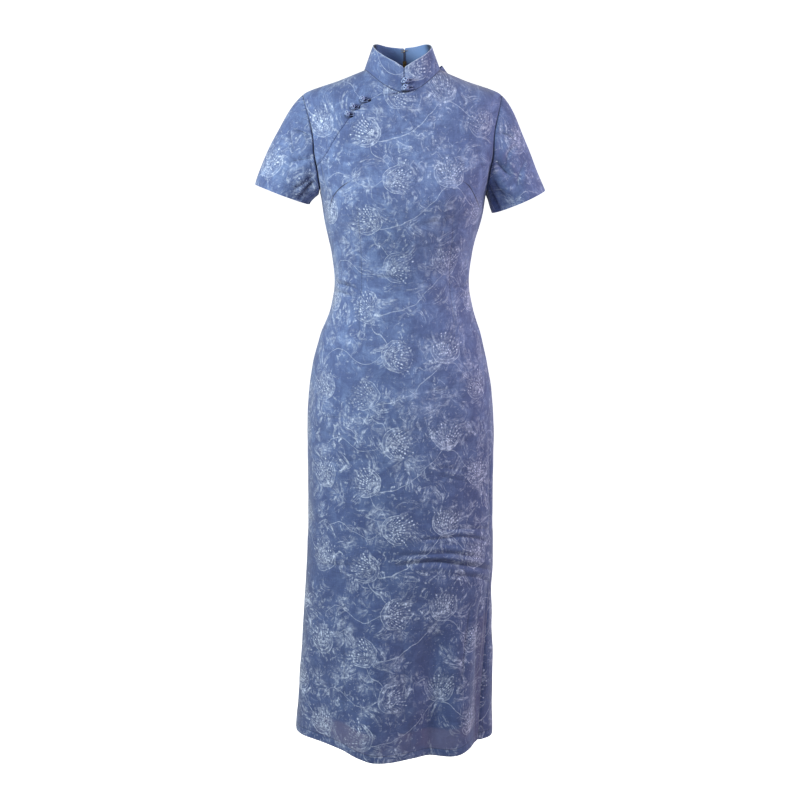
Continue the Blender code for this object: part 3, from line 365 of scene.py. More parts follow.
# On the sleeves a place is a turn round the armhole, 0 at the shoulder tip and 90 at the front, and
# a place down the sleeve from 0 to 1.
SLEEVE_CREASES = {
    "sleeve_left": [
        Crease([(105, 0.10), (98, 0.35), (86, 0.62)], 3.5, 5.0, 0.7),
        Crease([(125, 0.16), (122, 0.50), (112, 0.85)], 4.3, 5.6, 0.7),
        Crease([(75, 0.06), (62, 0.22), (48, 0.42)], 2.3, 4.6, 0.6),
        Crease([(96, 0.48), (72, 0.40), (44, 0.46)], 1.8, 4.4, 0.6),
        Crease([(140, 0.06), (143, 0.45), (140, 0.95)], 6.2, 4.4, 0.2),
        Crease([(40, 0.62), (66, 0.66), (92, 0.78)], 1.8, 5.0, 0.5),
        Crease([(-100, 0.12), (-96, 0.40), (-88, 0.70)], 3.1, 5.0, 0.7),
        Crease([(-126, 0.18), (-124, 0.55), (-116, 0.90)], 3.9, 5.6, 0.7),
        Crease([(-70, 0.08), (-56, 0.26), (-40, 0.44)], 2.2, 4.6, 0.6),
    ],
    "sleeve_right": [
        Crease([(102, 0.10), (92, 0.32), (74, 0.56)], 3.4, 5.0, 0.7),
        Crease([(122, 0.16), (118, 0.50), (106, 0.84)], 3.5, 5.4, 0.7),
        Crease([(82, 0.05), (66, 0.18), (46, 0.34)], 3.1, 4.4, 0.7),
        Crease([(132, 0.04), (130, 0.45), (126, 0.97)], 6.6, 6.6, 0.2),
        Crease([(30, 0.30), (54, 0.40), (80, 0.46)], 1.9, 4.4, 0.6),
        Crease([(-104, 0.12), (-98, 0.40), (-90, 0.68)], 3.1, 5.0, 0.7),
        Crease([(-124, 0.20), (-122, 0.55), (-114, 0.88)], 3.8, 5.6, 0.7),
        Crease([(-74, 0.08), (-60, 0.24), (-42, 0.40)], 2.3, 4.6, 0.6),
    ],
}
SEAM_DIP = 0.0007  # how far the cloth sinks at a seam
SEAM_WIDTH = 0.0035
SLEEVE_DIP = 0.0010  # how far the sleeve's top edge lies under the body's edge
SLEEVE_TUCK = 0.0030
SLIT_TUCK, SLIT_DEPTH = 0.007, 0.0030  # how far the back's slit edges lie under the front's
BACK_TUCK, BACK_DEPTH = 0.0040, 0.0013  # the right back's edge, turned in under the left back's
# Where the front opening gapes between its knots, as drops, and how far.
GAPES = [(0.0180, 0.0260), (0.0288, 0.0364), (0.0390, 0.0505)]
GAPE = 0.0060
LAPEL_TUCK, LAPEL_DEPTH = 0.0035, 0.0018  # how far the shoulder piece lies under the opening's edge
COLLAR_TUCK = 0.0015  # how far the collar's foot goes on inside the neckline
# A pinch that stands up from the back beside the collar: its angle, drop, height and half widths.
PINCH = (108.0, 0.0, 0.012, 8.0, 0.0050)
EASE = 0.0011  # how far the cloth waves in and out where nothing creases it
WAVES = [  # waves round and down, per metre, and where each starts
    (9.0, 5.0, 0.3),
    (-6.0, 11.0, 1.7),
    (17.0, 8.0, 2.9),
    (-13.0, 19.0, 4.1),
    (24.0, -14.0, 0.9),
    (7.0, 27.0, 5.2),
]
FACING = 0.013  # width of the facings along the slits
HEM_TURN = 0.013  # height of the hem's turn-up
LINING_HEM = 0.050  # how far above the hem the lining ends

# --- The print ------------------------------------------------------------------------------------
# One repeat holds four seed heads: where each lies in it, how far it is turned from upright, in
# degrees, its size, and how dusty it is. The stems join them.
REPEAT = (0.285, 0.149)
Head = collections.namedtuple("Head", "x y turn radius dust")
HEADS = [
    Head(0.000, 0.012, 24, 0.025, 1.0),
    Head(0.080, 0.000, 68, 0.026, 0.5),
    Head(0.137, -0.081, -88, 0.027, 0.4),
    Head(0.221, -0.070, -12, 0.026, 0.7),
]
SLEEVE_PRINT = 0.058  # radius that the print is wrapped on round a sleeve
SLEEVE_SHIFT = {"sleeve_left": (0.045, 0.47), "sleeve_right": (0.165, 0.44)}
PRINT_SHIFT = (0.147, 0.5405)  # where the centre front and the neck fall in the repeat
COLLAR_SHIFT = 0.107  # the print's place across the collar
# Stems: where each starts in the repeat, how far it runs, how far it climbs, how it bends and how
# high it humps.
Stem = collections.namedtuple("Stem", "x y run climb bend hump")
STEMS = [
    Stem(0.102, -0.015, 0.114, 0.074, 1.9, 0.000),
    Stem(0.006, -0.086, 0.104, 0.004, 1.0, 0.013),
    Stem(0.088, -0.024, 0.030, -0.036, 0.8, -0.004),
    Stem(0.222, -0.098, 0.050, -0.030, 1.2, 0.005),
]
STEM_WIDTH = 0.0006
STAMEN_TURN = 0.172  # angle between one stamen and the next
STAMEN_STEP = 0.205  # distance between one dot and the next along it, in head radii
STAMEN_DASH = 0.70  # how far the dots are drawn out along it
STAMEN_DOT = 0.040
BASE_COLOUR = (90, 108, 162)
DEEP_COLOUR = (72, 86, 138)
SHADE_COLOUR = (58, 72, 124)
WASH_COLOUR = (122, 142, 194)
INK_COLOUR = (200, 210, 244)
LOW_COLOUR = (47, 62, 113)  # of the cloth low on the skirt, between its drawing
# dark seams, darts and hem lines, and also the colour that painted shade darkens towards
SEAM_AND_SHADE_COLOUR = (20, 24, 44)
LINING_COLOUR = (100, 128, 188)
LINING_DULL = (78, 104, 160)
COLLAR_LINING_DULL = (98, 124, 182)
LINING_SHADE = (14, 18, 34)
# the unlined band above the hem and the thin cloth by the slits: partly the thin cloth's own
# colour, partly painted light shining through from behind
SHEER_BACKLIT_COLOUR = (112, 104, 138)
CORD_COLOUR = (92, 110, 168)
CORD_SHINE = (166, 182, 226)
# the zip's teeth; the first colour, with CORE_SHINE, also colours a knot's core as painted shade
# between its strands
TEETH_AND_KNOT_SHADE_COLOUR = (26, 32, 60)
TEETH_SHINE = (58, 68, 108)
CORE_SHINE = (44, 56, 100)
TAPE_COLOURS = ((62, 82, 132), (84, 104, 156))
BRASS_COLOURS = ((112, 92, 62), (176, 150, 104))

# What the finishes read at each point of a cloth, and what it is where a piece gives nothing.
STORED = {
    "from_hem": 1.0,
    "from_edge": 1.0,
    "dart": 1.0,
    "fold": 1.0,
    "dart_fade": 0.0,
    "fold_fade": 0.0,
    "slit": 0.0,
    "sheer": 0.0,
    "pale": 0.0,
    "shade": 0.0,
    "foot": 1.0,
}


# --- Smooth tables --------------------------------------------------------------------------------
def slopes(xs, ys):
    """Slopes at a table's points that keep the curve through them from overshooting."""
    steps = np.diff(xs)
    rises = np.diff(ys) / steps
    found = np.empty(len(xs))
    found[0], found[-1] = rises[0], rises[-1]
    for i in range(1, len(xs) - 1):
        before, after = rises[i - 1], rises[i]
        if before * after <= 0:
            found[i] = 0.0
            continue
        near, far = 2 * steps[i] + steps[i - 1], steps[i] + 2 * steps[i - 1]
        found[i] = (near + far) / (near / before + far / after)
    return found


def smooth_table(xs, ys):
    """A function that runs smoothly through a table's points."""
    xs, ys = np.array(xs, float), np.array(ys, float)
    m = slopes(xs, ys)

    def at(x):
        x = np.clip(x, xs[0], xs[-1])
        i = np.clip(np.searchsorted(xs, x, side="right") - 1, 0, len(xs) - 2)
        step = xs[i + 1] - xs[i]
        t = (x - xs[i]) / step
        return (
            ys[i] * (1 + 2 * t) * (1 - t) ** 2
            + m[i] * step * t * (1 - t) ** 2
            + ys[i + 1] * t * t * (3 - 2 * t)
            + m[i + 1] * step * t * t * (t - 1)
        )

    return at


RING_AT = {
    column: smooth_table([ring.drop for ring in RINGS], [getattr(ring, column) for ring in RINGS])
    for column in Ring._fields[1:]
}
LAPEL_ANGLE = smooth_table(
    [row.drop for row in LAPEL], [math.radians(row.degrees) for row in LAPEL]
)
COLLAR_TOP_AT = smooth_table(
    [math.radians(row.degrees) for row in COLLAR_TOPS], [row.z for row in COLLAR_TOPS]
)
SWING_AT = smooth_table(
    [row.drop for row in SWINGS], [math.radians(row.degrees) for row in SWINGS]
)
HEM_LIFT_AT = smooth_table(
    [math.radians(row.degrees) for row in HEM_LIFTS], [row.rise for row in HEM_LIFTS]
)


def ease(t):
    """0 before 0, 1 after 1, and smooth between them."""
    t = np.clip(t, 0.0, 1.0)
    return t * t * (3 - 2 * t)


# --- The surface of the dress ---------------------------------------------------------------------
def ring_forms(front, drop):
    """The depth, flatness and dip of the rings, at the front or at the back."""
    return [
        np.where(front, RING_AT["front" + column](drop), RING_AT["back" + column](drop))
        for column in ("", "_flat", "_dip")
    ]


def ring_point(angle, drop):
    """A point of the dress before its folds."""
    across, along = np.sin(angle), np.abs(np.cos(angle))
    front = np.cos(angle) > 0
    depth, flat, dip = ring_forms(front, drop)
    depth = np.where(front, -depth, depth)
    return np.stack(
        [
            RING_AT["lean"](drop) + RING_AT["half_width"](drop) * across,
            depth * along**flat,
            -(drop + dip * along**EDGE_DIP_POWER),
        ],
        axis=-1,
    )


def turned(angle, middle):
    """The angle from a fold's middle, between -180 and 180 degrees."""
    return np.arctan2(np.sin(angle - middle), np.cos(angle - middle))


def relief(angle, drop):
    """How far the folds and swellings stand out of the plain ring."""
    out = np.zeros(np.broadcast(angle, drop).shape)
    for fold in FOLDS:
        away = turned(angle, math.radians(fold.angle)) / math.radians(fold.width)
        grown = ease((drop - fold.start) / (HEM - fold.start)) ** 0.8
        out = out + fold.out * np.exp(-(away**2)) * grown
    for swell in SWELLS:
        away = turned(angle, math.radians(swell.angle)) / math.radians(swell.width)
        up = (drop - swell.drop) / swell.height
        out = out + swell.out * np.exp(-(away**2) - up**2)
    return out


def unit(way):
    """A direction, or each of many, with a length of 1."""
    return way / np.linalg.norm(way, axis=-1, keepdims=True)


def passed(grid, axis):
    """How far each point lies from the start of its row (axis 1) or column (axis 0), along it."""
    steps = np.linalg.norm(np.diff(grid, axis=axis), axis=-1)
    return np.insert(np.cumsum(steps, axis=axis), 0, 0.0, axis=axis)


def normals(surface, u, v, step_u, step_v):
    """Unit normals of a surface of two arguments, by central differences."""
    along_u = surface(u + step_u, v) - surface(u - step_u, v)
    along_v = surface(u, v + step_v) - surface(u, v - step_v)
    return unit(np.cross(along_u, along_v))


def plain_normal(angle, drop):
    return -normals(ring_point, angle, drop, 0.004, 0.0005)


def dress_point(angle, drop):
    """A point of the dress's outer face."""
    return ring_point(angle, drop) + plain_normal(angle, drop) * relief(angle, drop)[..., None]


def dress_normal(angle, drop):
    return -normals(dress_point, angle, drop, 0.006, 0.001)


# --- Edges of the panels --------------------------------------------------------------------------
def armhole_reach(z, reach):
    """How far the armhole's edge lies in front of or behind the side line at a height."""
    middle, half = -(SHOULDER_TIP + ARMPIT) / 2, (ARMPIT - SHOULDER_TIP) / 2
    place = np.clip((z - middle) / half, -1, 1)
    return reach * np.sqrt(1 - place**2) * (1 - ARMHOLE_SKEW * place)


def side_edge(drop, facing, side):
    """The angle of a panel's side edge, from its own centre. side is +1 for the wearer's left."""
    drop = np.asarray(drop, float)
    reach = ARMHOLE_FRONT if facing == "front" else ARMHOLE_BACK
    depth, flat = RING_AT[facing](drop), RING_AT[facing + "_flat"](drop)
    dip = RING_AT[facing + "_dip"](drop)
    slit = SLIT_GAP / 2 * ease((drop - SLIT_TOP) / (HEM - SLIT_TOP))
    along = np.zeros_like(drop)
    for _ in range(30):
        z = -(drop + dip * along**EDGE_DIP_POWER)
        edge = np.maximum(armhole_reach(z, reach), SEAM / 2 + slit)
        along = 0.5 * along + 0.5 * np.clip(edge / depth, 0, 1) ** (1 / flat)
    swing = SWING_AT(drop) * (side > 0) * (-1 if facing == "front" else 1)
    return np.arccos(along) + swing


def corner_lift(distance, radius):
    """How much a rounded corner raises an edge at a distance from the corner's side."""
    inside = np.clip(1 - distance / radius, 0, 1)
    return radius * (1 - np.sqrt(1 - inside**2))


def spread(count, crowd):
    """Places from 0 to 1, closer together near both ends."""
    t = np.linspace(0, 1, count + 1)
    return t - crowd * np.sin(2 * np.pi * t) / (2 * np.pi)


def panel_drops():
    """Drops of the rows, which are closer together where the cloth creases."""
    found = list(np.linspace(0.0, SHOULDER_TIP, NECK_ROWS + 1))
    turn = np.linspace(0, math.pi, ARMHOLE_ROWS + 1)[1:]
    found += list(SHOULDER_TIP + (ARMPIT - SHOULDER_TIP) * (1 - np.cos(turn)) / 2)
    for end, rows in ROW_BANDS:
        found += list(np.linspace(found[-1], end, rows + 1)[1:])
    return np.array(found)


# --- Edges of the pieces --------------------------------------------------------------------------
def centre_back(drop):
    """The angle of the centre back seam, which leans towards the wearer's left at the neck."""
    return math.pi - NECK_TURN * (1 - ease(drop / NECK_TURN_LENGTH))


def lapel_edge(drop, side):
    """The front opening's edge: side +1 is the main front's, and -1 the shoulder piece's."""
    shift = 0.7 * SEAM
    angle = LAPEL_ANGLE(np.asarray(drop, float) - side * shift)
    return angle + side * shift / RING_AT["half_width"](drop)


# --- Sleeves --------------------------------------------------------------------------------------
def armhole_place(turn):
    """The angle and drop of the armhole's edge: turn 0 is the shoulder tip, 90 the front."""
    middle, half = -(SHOULDER_TIP + ARMPIT) / 2, (ARMPIT - SHOULDER_TIP) / 2
    z = middle + half * np.cos(turn)
    front = np.sin(turn) >= 0
    reach = np.abs(np.sin(turn)) * np.where(front, ARMHOLE_FRONT, ARMHOLE_BACK)
    reach = reach * (1 - ARMHOLE_SKEW * np.cos(turn))
    drop, along = -z, np.zeros_like(z)
    for _ in range(40):
        depth, flat, dip = ring_forms(front, drop)
        along = np.clip(reach / depth, 0, 1) ** (1 / flat)
        drop = 0.5 * drop + 0.5 * (-z - dip * along**EDGE_DIP_POWER)
    angle = np.where(front, np.arccos(along), math.pi - np.arccos(along))
    return angle, drop


def sleeve_surface(cuff):
    """The sleeve's outer face as a function of turn round it and place down it, from 0 to 1."""
    tilt = math.radians(cuff.tilt)
    outward = np.array([cuff.side * math.cos(tilt), 0, math.sin(tilt)])
    centre = np.array([cuff.side * cuff.x, 0.002, cuff.z])

    flare = math.radians(cuff.flare)
    arrive = np.array([cuff.side * math.sin(flare), 0, -math.cos(flare)])

    def surface(turn, place):
        angle, drop = armhole_place(turn)
        start = dress_point(cuff.side * angle, drop)
        share = (1 + np.cos(turn)) / 2
        lean = CAP_BOTTOM + (CAP_TOP - CAP_BOTTOM) * share
        leave = np.stack(
            [
                cuff.side * np.sin(lean),
                -CAP_SPREAD * np.sin(turn),
                -np.cos(lean),
            ],
            axis=-1,
        )
        leave = unit(leave)
        start = start + leave * 1.5 * SEAM + np.array([cuff.side, 0, 0]) * SEAM
        end = (
            centre
            + outward * (cuff.half_across * np.cos(turn))[..., None]
            + np.array([0, -1, 0]) * (cuff.half_deep * np.sin(turn))[..., None]
        )
        reach = np.linalg.norm(end - start, axis=-1, keepdims=True)
        t = place[..., None]
        return (
            start * (1 + 2 * t) * (1 - t) ** 2
            + leave * reach * CAP_PULL * t * (1 - t) ** 2
            + end * t * t * (3 - 2 * t)
            - arrive * reach * 0.9 * t * t * (1 - t)
        )

    return surface


# --- Collar ---------------------------------------------------------------------------------------
def collar_surface(angle, height):
    """A point of the collar's outer face: angle as on the dress, height from 0 at its foot to 1."""
    foot = dress_point(angle, np.zeros_like(angle)) + np.array([0, 0, COLLAR_FOOT_LIFT])
    depth = np.where(np.cos(angle) > 0, -COLLAR_TOP_FRONT, COLLAR_TOP_BACK)
    top = np.stack(
        [
            COLLAR_TOP_HALF_WIDTH * np.sin(angle),
            depth * np.abs(np.cos(angle)),
            COLLAR_TOP_AT(np.abs(turned(angle, 0.0))),
        ],
        axis=-1,
    )
    return foot + (top - foot) * height[..., None]


def collar_normal(angle, height):
    facing = normals(collar_surface, angle, height, 0.004, 0.01)
    outward = np.sum(facing * collar_surface(angle, height) * [1, 1, 0], axis=-1)
    return facing * np.sign(outward)[..., None]


# --- Fastenings -----------------------------------------------------------------------------------
class Spot:
    """A place on a surface, with its directions: right round the dress, up, and out."""

    def __init__(self, surface, facing, u, v):
        self.surface, self.facing, self.u, self.v = surface, facing, float(u), float(v)
        self.origin = self.at(self.u, self.v)
        self.out = self.normal(self.u, self.v)
        along = self.at(self.u + 0.002, self.v) - self.at(self.u - 0.002, self.v)
        self.right = unit(along - self.out * along.dot(self.out))
        self.up = np.cross(self.out, self.right)

    def at(self, u, v):
        return self.surface(np.array([u]), np.array([v]))[0]

    def normal(self, u, v):
        return self.facing(np.array([u]), np.array([v]))[0]

    def moved(self, right, up):
        """The place on the surface that lies this far to the right and up."""
        goal = self.origin + right * self.right + up * self.up
        u, v = self.u, self.v
        for _ in range(6):
            here = self.at(u, v)
            sideways, upward = self.at(u + 0.002, v) - here, self.at(u, v + 0.002) - here
            slope = np.stack([sideways, upward], axis=1) / 0.002
            step = np.linalg.lstsq(slope, goal - here, rcond=None)[0]
            u, v = u + step[0], v + step[1]
        return u, v

    def above(self, right, up, out):
        """A point above the surface, over the place that lies this far to the right and up."""
        u, v = self.moved(right, up)
        return self.at(u, v) + self.normal(u, v) * out

    def straight(self, right, up, out):
        return self.origin + right * self.right + up * self.up + out * self.out

    def own(self, point):
        """A point of the dress in this place's own frame."""
        away = point - self.origin
        return away.dot(self.right), away.dot(self.up), away.dot(self.out)


def loop_path(spot, aim, length, narrow, wide, end, height):
    """A cord loop that leads off in one direction and goes round the spot."""
    aim = unit(np.array(aim))
    cross = np.array([-aim[1], aim[0]])
    flat = [(length, narrow), (length * 0.62, narrow * 0.6 + wide * 0.4), (length * 0.25, wide)]
    for turn in np.linspace(90, 180, 4)[1:]:
        turn = math.radians(turn)
        flat.append((end * math.cos(turn), wide * math.sin(turn)))
    flat += [(a, -b) for a, b in reversed(flat[:-1])]
    return [spot.own(spot.above(*(a * aim + b * cross), height)) for a, b in flat]


def front_spot(place):
    """Where a ball sits on the front: beside the opening, at the drop where the opening passes."""
    edge = Spot(dress_point, dress_normal, LAPEL_ANGLE(place), place)
    way = edge.at(LAPEL_ANGLE(place + 0.002), place + 0.002) - edge.origin
    away = np.cross(edge.out, unit(way))
    away = FRONT_BALL_SHIFT * (away if away[0] < 0 else -away)
    return Spot(dress_point, dress_normal, *edge.moved(away.dot(edge.right), away.dot(edge.up)))


# --- Camera, light and floor ----------------------------------------------------------------------
CAMERA_AT = (-0.1505, -2.796, -0.072)
CAMERA_TURN = (80.0, 0.0, -3.0)  # degrees
CAMERA_LENS = 73.125
FLOOR_Z = -1.38
BOWL, BEND = 4.5, 1.6  # radius of the flat floor, and of the curve round it
FLOOR_HOLE = 0.01  # radius of the hole in the floor's middle
FLOOR_RISE = 8.0  # how far above the floor its rim ends
FLOOR_COLOURS = ((244, 244, 244), (248, 248, 248))
FLOOR_GLOW = 0.92
WORLD_LIGHT = 0.19
WORLD_COLOUR = (0.92, 0.97, 1.12, 1.0)
Lamp = collections.namedtuple("Lamp", "name at aim size power colour")
LAMPS = [
    Lamp("key", (-1.35, -1.15, 0.34), (0.0, 0.0, -0.20), (0.8, 0.6), 47, (0.90, 1.0, 0.83)),
    Lamp("warm", (1.6, -0.30, 0.05), (0.1, 0.0, -0.35), (0.4, 1.4), 22, (1.0, 0.84, 0.84)),
    Lamp("fill", (0.20, -1.90, 1.35), (0.0, 0.0, -0.20), (0.7, 0.7), 6, (0.95, 0.97, 1.0)),
]


def linear(colour):
    """A colour given as it looks on a screen, 0 to 255, as light."""
    shares = [c / 255 for c in colour]
    return tuple(s / 12.92 if s <= 0.04 else ((s + 0.055) / 1.055) ** 2.4 for s in shares) + (1.0,)


def add_object(name, data):
    found = bpy.data.objects.new(name, data)
    bpy.context.scene.collection.objects.link(found)
    return found


def make_camera():
    data = bpy.data.cameras.new("camera")
    data.lens = CAMERA_LENS
    data.sensor_width = 36.0
    camera = add_object("camera", data)
    camera.location = CAMERA_AT
    camera.rotation_euler = [math.radians(turn) for turn in CAMERA_TURN]
    bpy.context.scene.camera = camera
    bpy.context.scene.view_settings.view_transform = "Standard"


def add_light(name, at, aim, size, power, colour):
    data = bpy.data.lights.new(name, "AREA")
    data.shape = "RECTANGLE"
    data.size, data.size_y = size
    data.energy = power
    data.color = colour
    lamp = add_object(name, data)
    lamp.location = at
    lamp.rotation_euler = (Vector(at) - Vector(aim)).to_track_quat("Z", "Y").to_euler()
    lamp.visible_camera = False


def make_lights():
    world = bpy.data.worlds.new("studio")
    bpy.context.scene.world = world
    world.use_nodes = True
    sky = world.node_tree.nodes["Background"]
    sky.inputs["Color"].default_value = WORLD_COLOUR
    sky.inputs["Strength"].default_value = WORLD_LIGHT
    for lamp in LAMPS:
        add_light(*lamp)


def make_stage():
    """A pale floor that curves up all round, bright enough to show as white."""
    line = [(FLOOR_HOLE, FLOOR_Z)]
    for turn in np.linspace(0, math.pi / 2, 13):
        line.append((BOWL + BEND * math.sin(turn), FLOOR_Z + BEND * (1 - math.cos(turn))))
    line.append((BOWL + BEND, FLOOR_Z + FLOOR_RISE))
    turns = np.linspace(0, 2 * math.pi, 64, endpoint=False)
    points = [(r * math.cos(turn), r * math.sin(turn), z) for r, z in line for turn in turns]
    count = len(turns)
    faces = [
        (
            i * count + j,
            i * count + (j + 1) % count,
            (i + 1) * count + (j + 1) % count,
            (i + 1) * count + j,
        )
        for i in range(len(line) - 1)
        for j in range(count)
    ]
    mesh = bpy.data.meshes.new("floor")
    mesh.from_pydata(points, [], faces)
    mesh.shade_smooth()
    paint = Finish("pale_floor", roughness=0.9, specular=0.1)
    patches = paint.noise(paint.place(), 3.0, 2.0).between(0.4, 0.6)
    paint.colour(patches.mix(*map(linear, FLOOR_COLOURS)))
    paint.shader.inputs["Emission Color"].default_value = (1.0, 1.0, 1.0, 1.0)
    paint.shader.inputs["Emission Strength"].default_value = FLOOR_GLOW
    mesh.materials.append(paint.material)
    floor = add_object("floor", mesh)
    floor.visible_diffuse = False


# --- Finishes -------------------------------------------------------------------------------------
class Value:
    """A number in a finish's node tree, with arithmetic."""

    def __init__(self, finish, socket):
        self.finish, self.socket = finish, socket

    def math(self, operation, *others):
        return self.finish.math(operation, self, *others)

    def __add__(self, other):
        return self.math("ADD", other)

    def __sub__(self, other):
        return self.math("SUBTRACT", other)

    def __rsub__(self, other):
        return self.finish.math("SUBTRACT", other, self)

    def __mul__(self, other):
        return self.math("MULTIPLY", other)

    def __truediv__(self, other):
        return self.math("DIVIDE", other)

    def __pow__(self, other):
        return self.math("POWER", other)

    def __abs__(self):
        return self.math("ABSOLUTE")

    __radd__, __rmul__ = __add__, __mul__

    def between(self, low, high):
        """0 where the number is below low, 1 above high, smooth between; low may be the higher."""
        node = self.finish.node("ShaderNodeMapRange")
        node.interpolation_type = "SMOOTHSTEP"
        for name, given in (("Value", self), ("From Min", low), ("From Max", high)):
            self.finish.feed(node.inputs[name], given)
        return Value(self.finish, node.outputs["Result"])

    def mix(self, first, second):
        """first where the number is 0 and second where it is 1, as colours."""
        node = self.finish.node("ShaderNodeMix")
        node.data_type = "RGBA"
        for number, given in ((0, self), (6, first), (7, second)):
            self.finish.feed(node.inputs[number], given)
        return Value(self.finish, node.outputs[2])


class Finish:
    """A material and the nodes that make it."""

    def __init__(self, name, roughness=0.8, specular=0.5, sheen=0.0, metallic=0.0):
        self.material = bpy.data.materials.new(name)
        self.material.use_nodes = True
        self.tree = self.material.node_tree
        self.shader = self.tree.nodes["Principled BSDF"]
        self.shader.inputs["Roughness"].default_value = roughness
        self.shader.inputs["Specular IOR Level"].default_value = specular
        self.shader.inputs["Metallic"].default_value = metallic
        if sheen:
            self.shader.inputs["Sheen Weight"].default_value = sheen
            self.shader.inputs["Sheen Roughness"].default_value = 0.45

    def node(self, kind):
        return self.tree.nodes.new(kind)

    def feed(self, socket, given):
        if isinstance(given, Value):
            self.tree.links.new(given.socket, socket)
        else:
            socket.default_value = given

    def math(self, operation, *given):
        node = self.node("ShaderNodeMath")
        node.operation = operation
        for socket, number in zip(node.inputs, given):
            self.feed(socket, number)
        return Value(self, node.outputs[0])

    def place(self):
        return Value(self, self.node("ShaderNodeTexCoord").outputs["Object"])

    def cut(self):
        """The place on the flat cloth, across and up, in metres."""
        node = self.node("ShaderNodeUVMap")
        node.uv_map = "cut"
        split = self.node("ShaderNodeSeparateXYZ")
        self.tree.links.new(node.outputs["UV"], split.inputs[0])
        return Value(self, split.outputs["X"]), Value(self, split.outputs["Y"])

    def stored(self, name):
        node = self.node("ShaderNodeAttribute")
        node.attribute_name = name
        return Value(self, node.outputs["Fac"])

    def scaled(self, colour, amount):
        """A colour made lighter or darker."""
        node = self.node("ShaderNodeVectorMath")
        node.operation = "SCALE"
        self.feed(node.inputs[0], colour)
        self.feed(node.inputs["Scale"], amount)
        return Value(self, node.outputs[0])

    def point(self, x, y, z=0.0):
        node = self.node("ShaderNodeCombineXYZ")
        for socket, number in zip(node.inputs, (x, y, z)):
            self.feed(socket, number)
        return Value(self, node.outputs[0])

    def away(self, spot):
        """How far each point is from a spot."""
        node = self.node("ShaderNodeVectorMath")
        node.operation = "DISTANCE"
        self.feed(node.inputs[0], self.place())
        node.inputs[1].default_value = [float(value) for value in spot]
        return Value(self, node.outputs["Value"])

    def noise(self, place, scale, detail=2.0, rough=0.5, bend=0.0):
        node = self.node("ShaderNodeTexNoise")
        self.feed(node.inputs["Vector"], place)
        node.inputs["Scale"].default_value = scale
        node.inputs["Detail"].default_value = detail
        node.inputs["Roughness"].default_value = rough
        node.inputs["Distortion"].default_value = bend
        return Value(self, node.outputs["Fac"])

    def chance(self, x, y):
        """A number from 0 to 1 that differs from one whole x and y to the next."""
        node = self.node("ShaderNodeTexWhiteNoise")
        node.noise_dimensions = "2D"
        self.feed(node.inputs["Vector"], self.point(x, y))
        return Value(self, node.outputs["Value"])

    def colour(self, given):
        self.feed(self.shader.inputs["Base Color"], given)

    def roughness(self, given):
        self.feed(self.shader.inputs["Roughness"], given)

    def bump(self, height, distance):
        node = self.node("ShaderNodeBump")
        node.inputs["Distance"].default_value = distance
        self.feed(node.inputs["Height"], height)
        self.tree.links.new(node.outputs["Normal"], self.shader.inputs["Normal"])


def reach(x, y):
    return (x * x + y * y) ** 0.5


def line_ink(distance, half_width):
    """1 on a line and 0 beyond its half width."""
    return abs(distance).between(half_width * 1.35, half_width * 0.35)


def wrapped(number, middle, period):
    """How far a number lies from the nearest repeat of middle."""
    return (number - (middle - period / 2)).math("FLOORED_MODULO", period) - period / 2


def nearest_head(finish, across, up):
    """The place on the nearest seed head, in its own radii, with its dustiness and a seed."""
    best = x = y = dust = seed = None
    for number, head in enumerate(HEADS):
        dx = wrapped(across, head.x, REPEAT[0])
        dy = wrapped(up, head.y, REPEAT[1])
        turn = math.radians(head.turn)
        c, s = math.cos(turn) / head.radius, math.sin(turn) / head.radius
        own_x, own_y = dx * c + dy * s, dy * c - dx * s
        far = own_x * own_x + own_y * own_y
        cell = (across - dx) * 31.0 + (up - dy) * 57.0 + number * 3.0
        if best is None:
            best, x, y, seed = far, own_x, own_y, cell
            dust = finish.math("ADD", head.dust, 0.0)
            continue
        near = far.math("LESS_THAN", best)
        best = best.math("MINIMUM", far)
        x, y = x + (own_x - x) * near, y + (own_y - y) * near
        dust, seed = dust + (head.dust - dust) * near, seed + (cell - seed) * near
    return x, y, dust, seed.math("SNAP", 0.37)


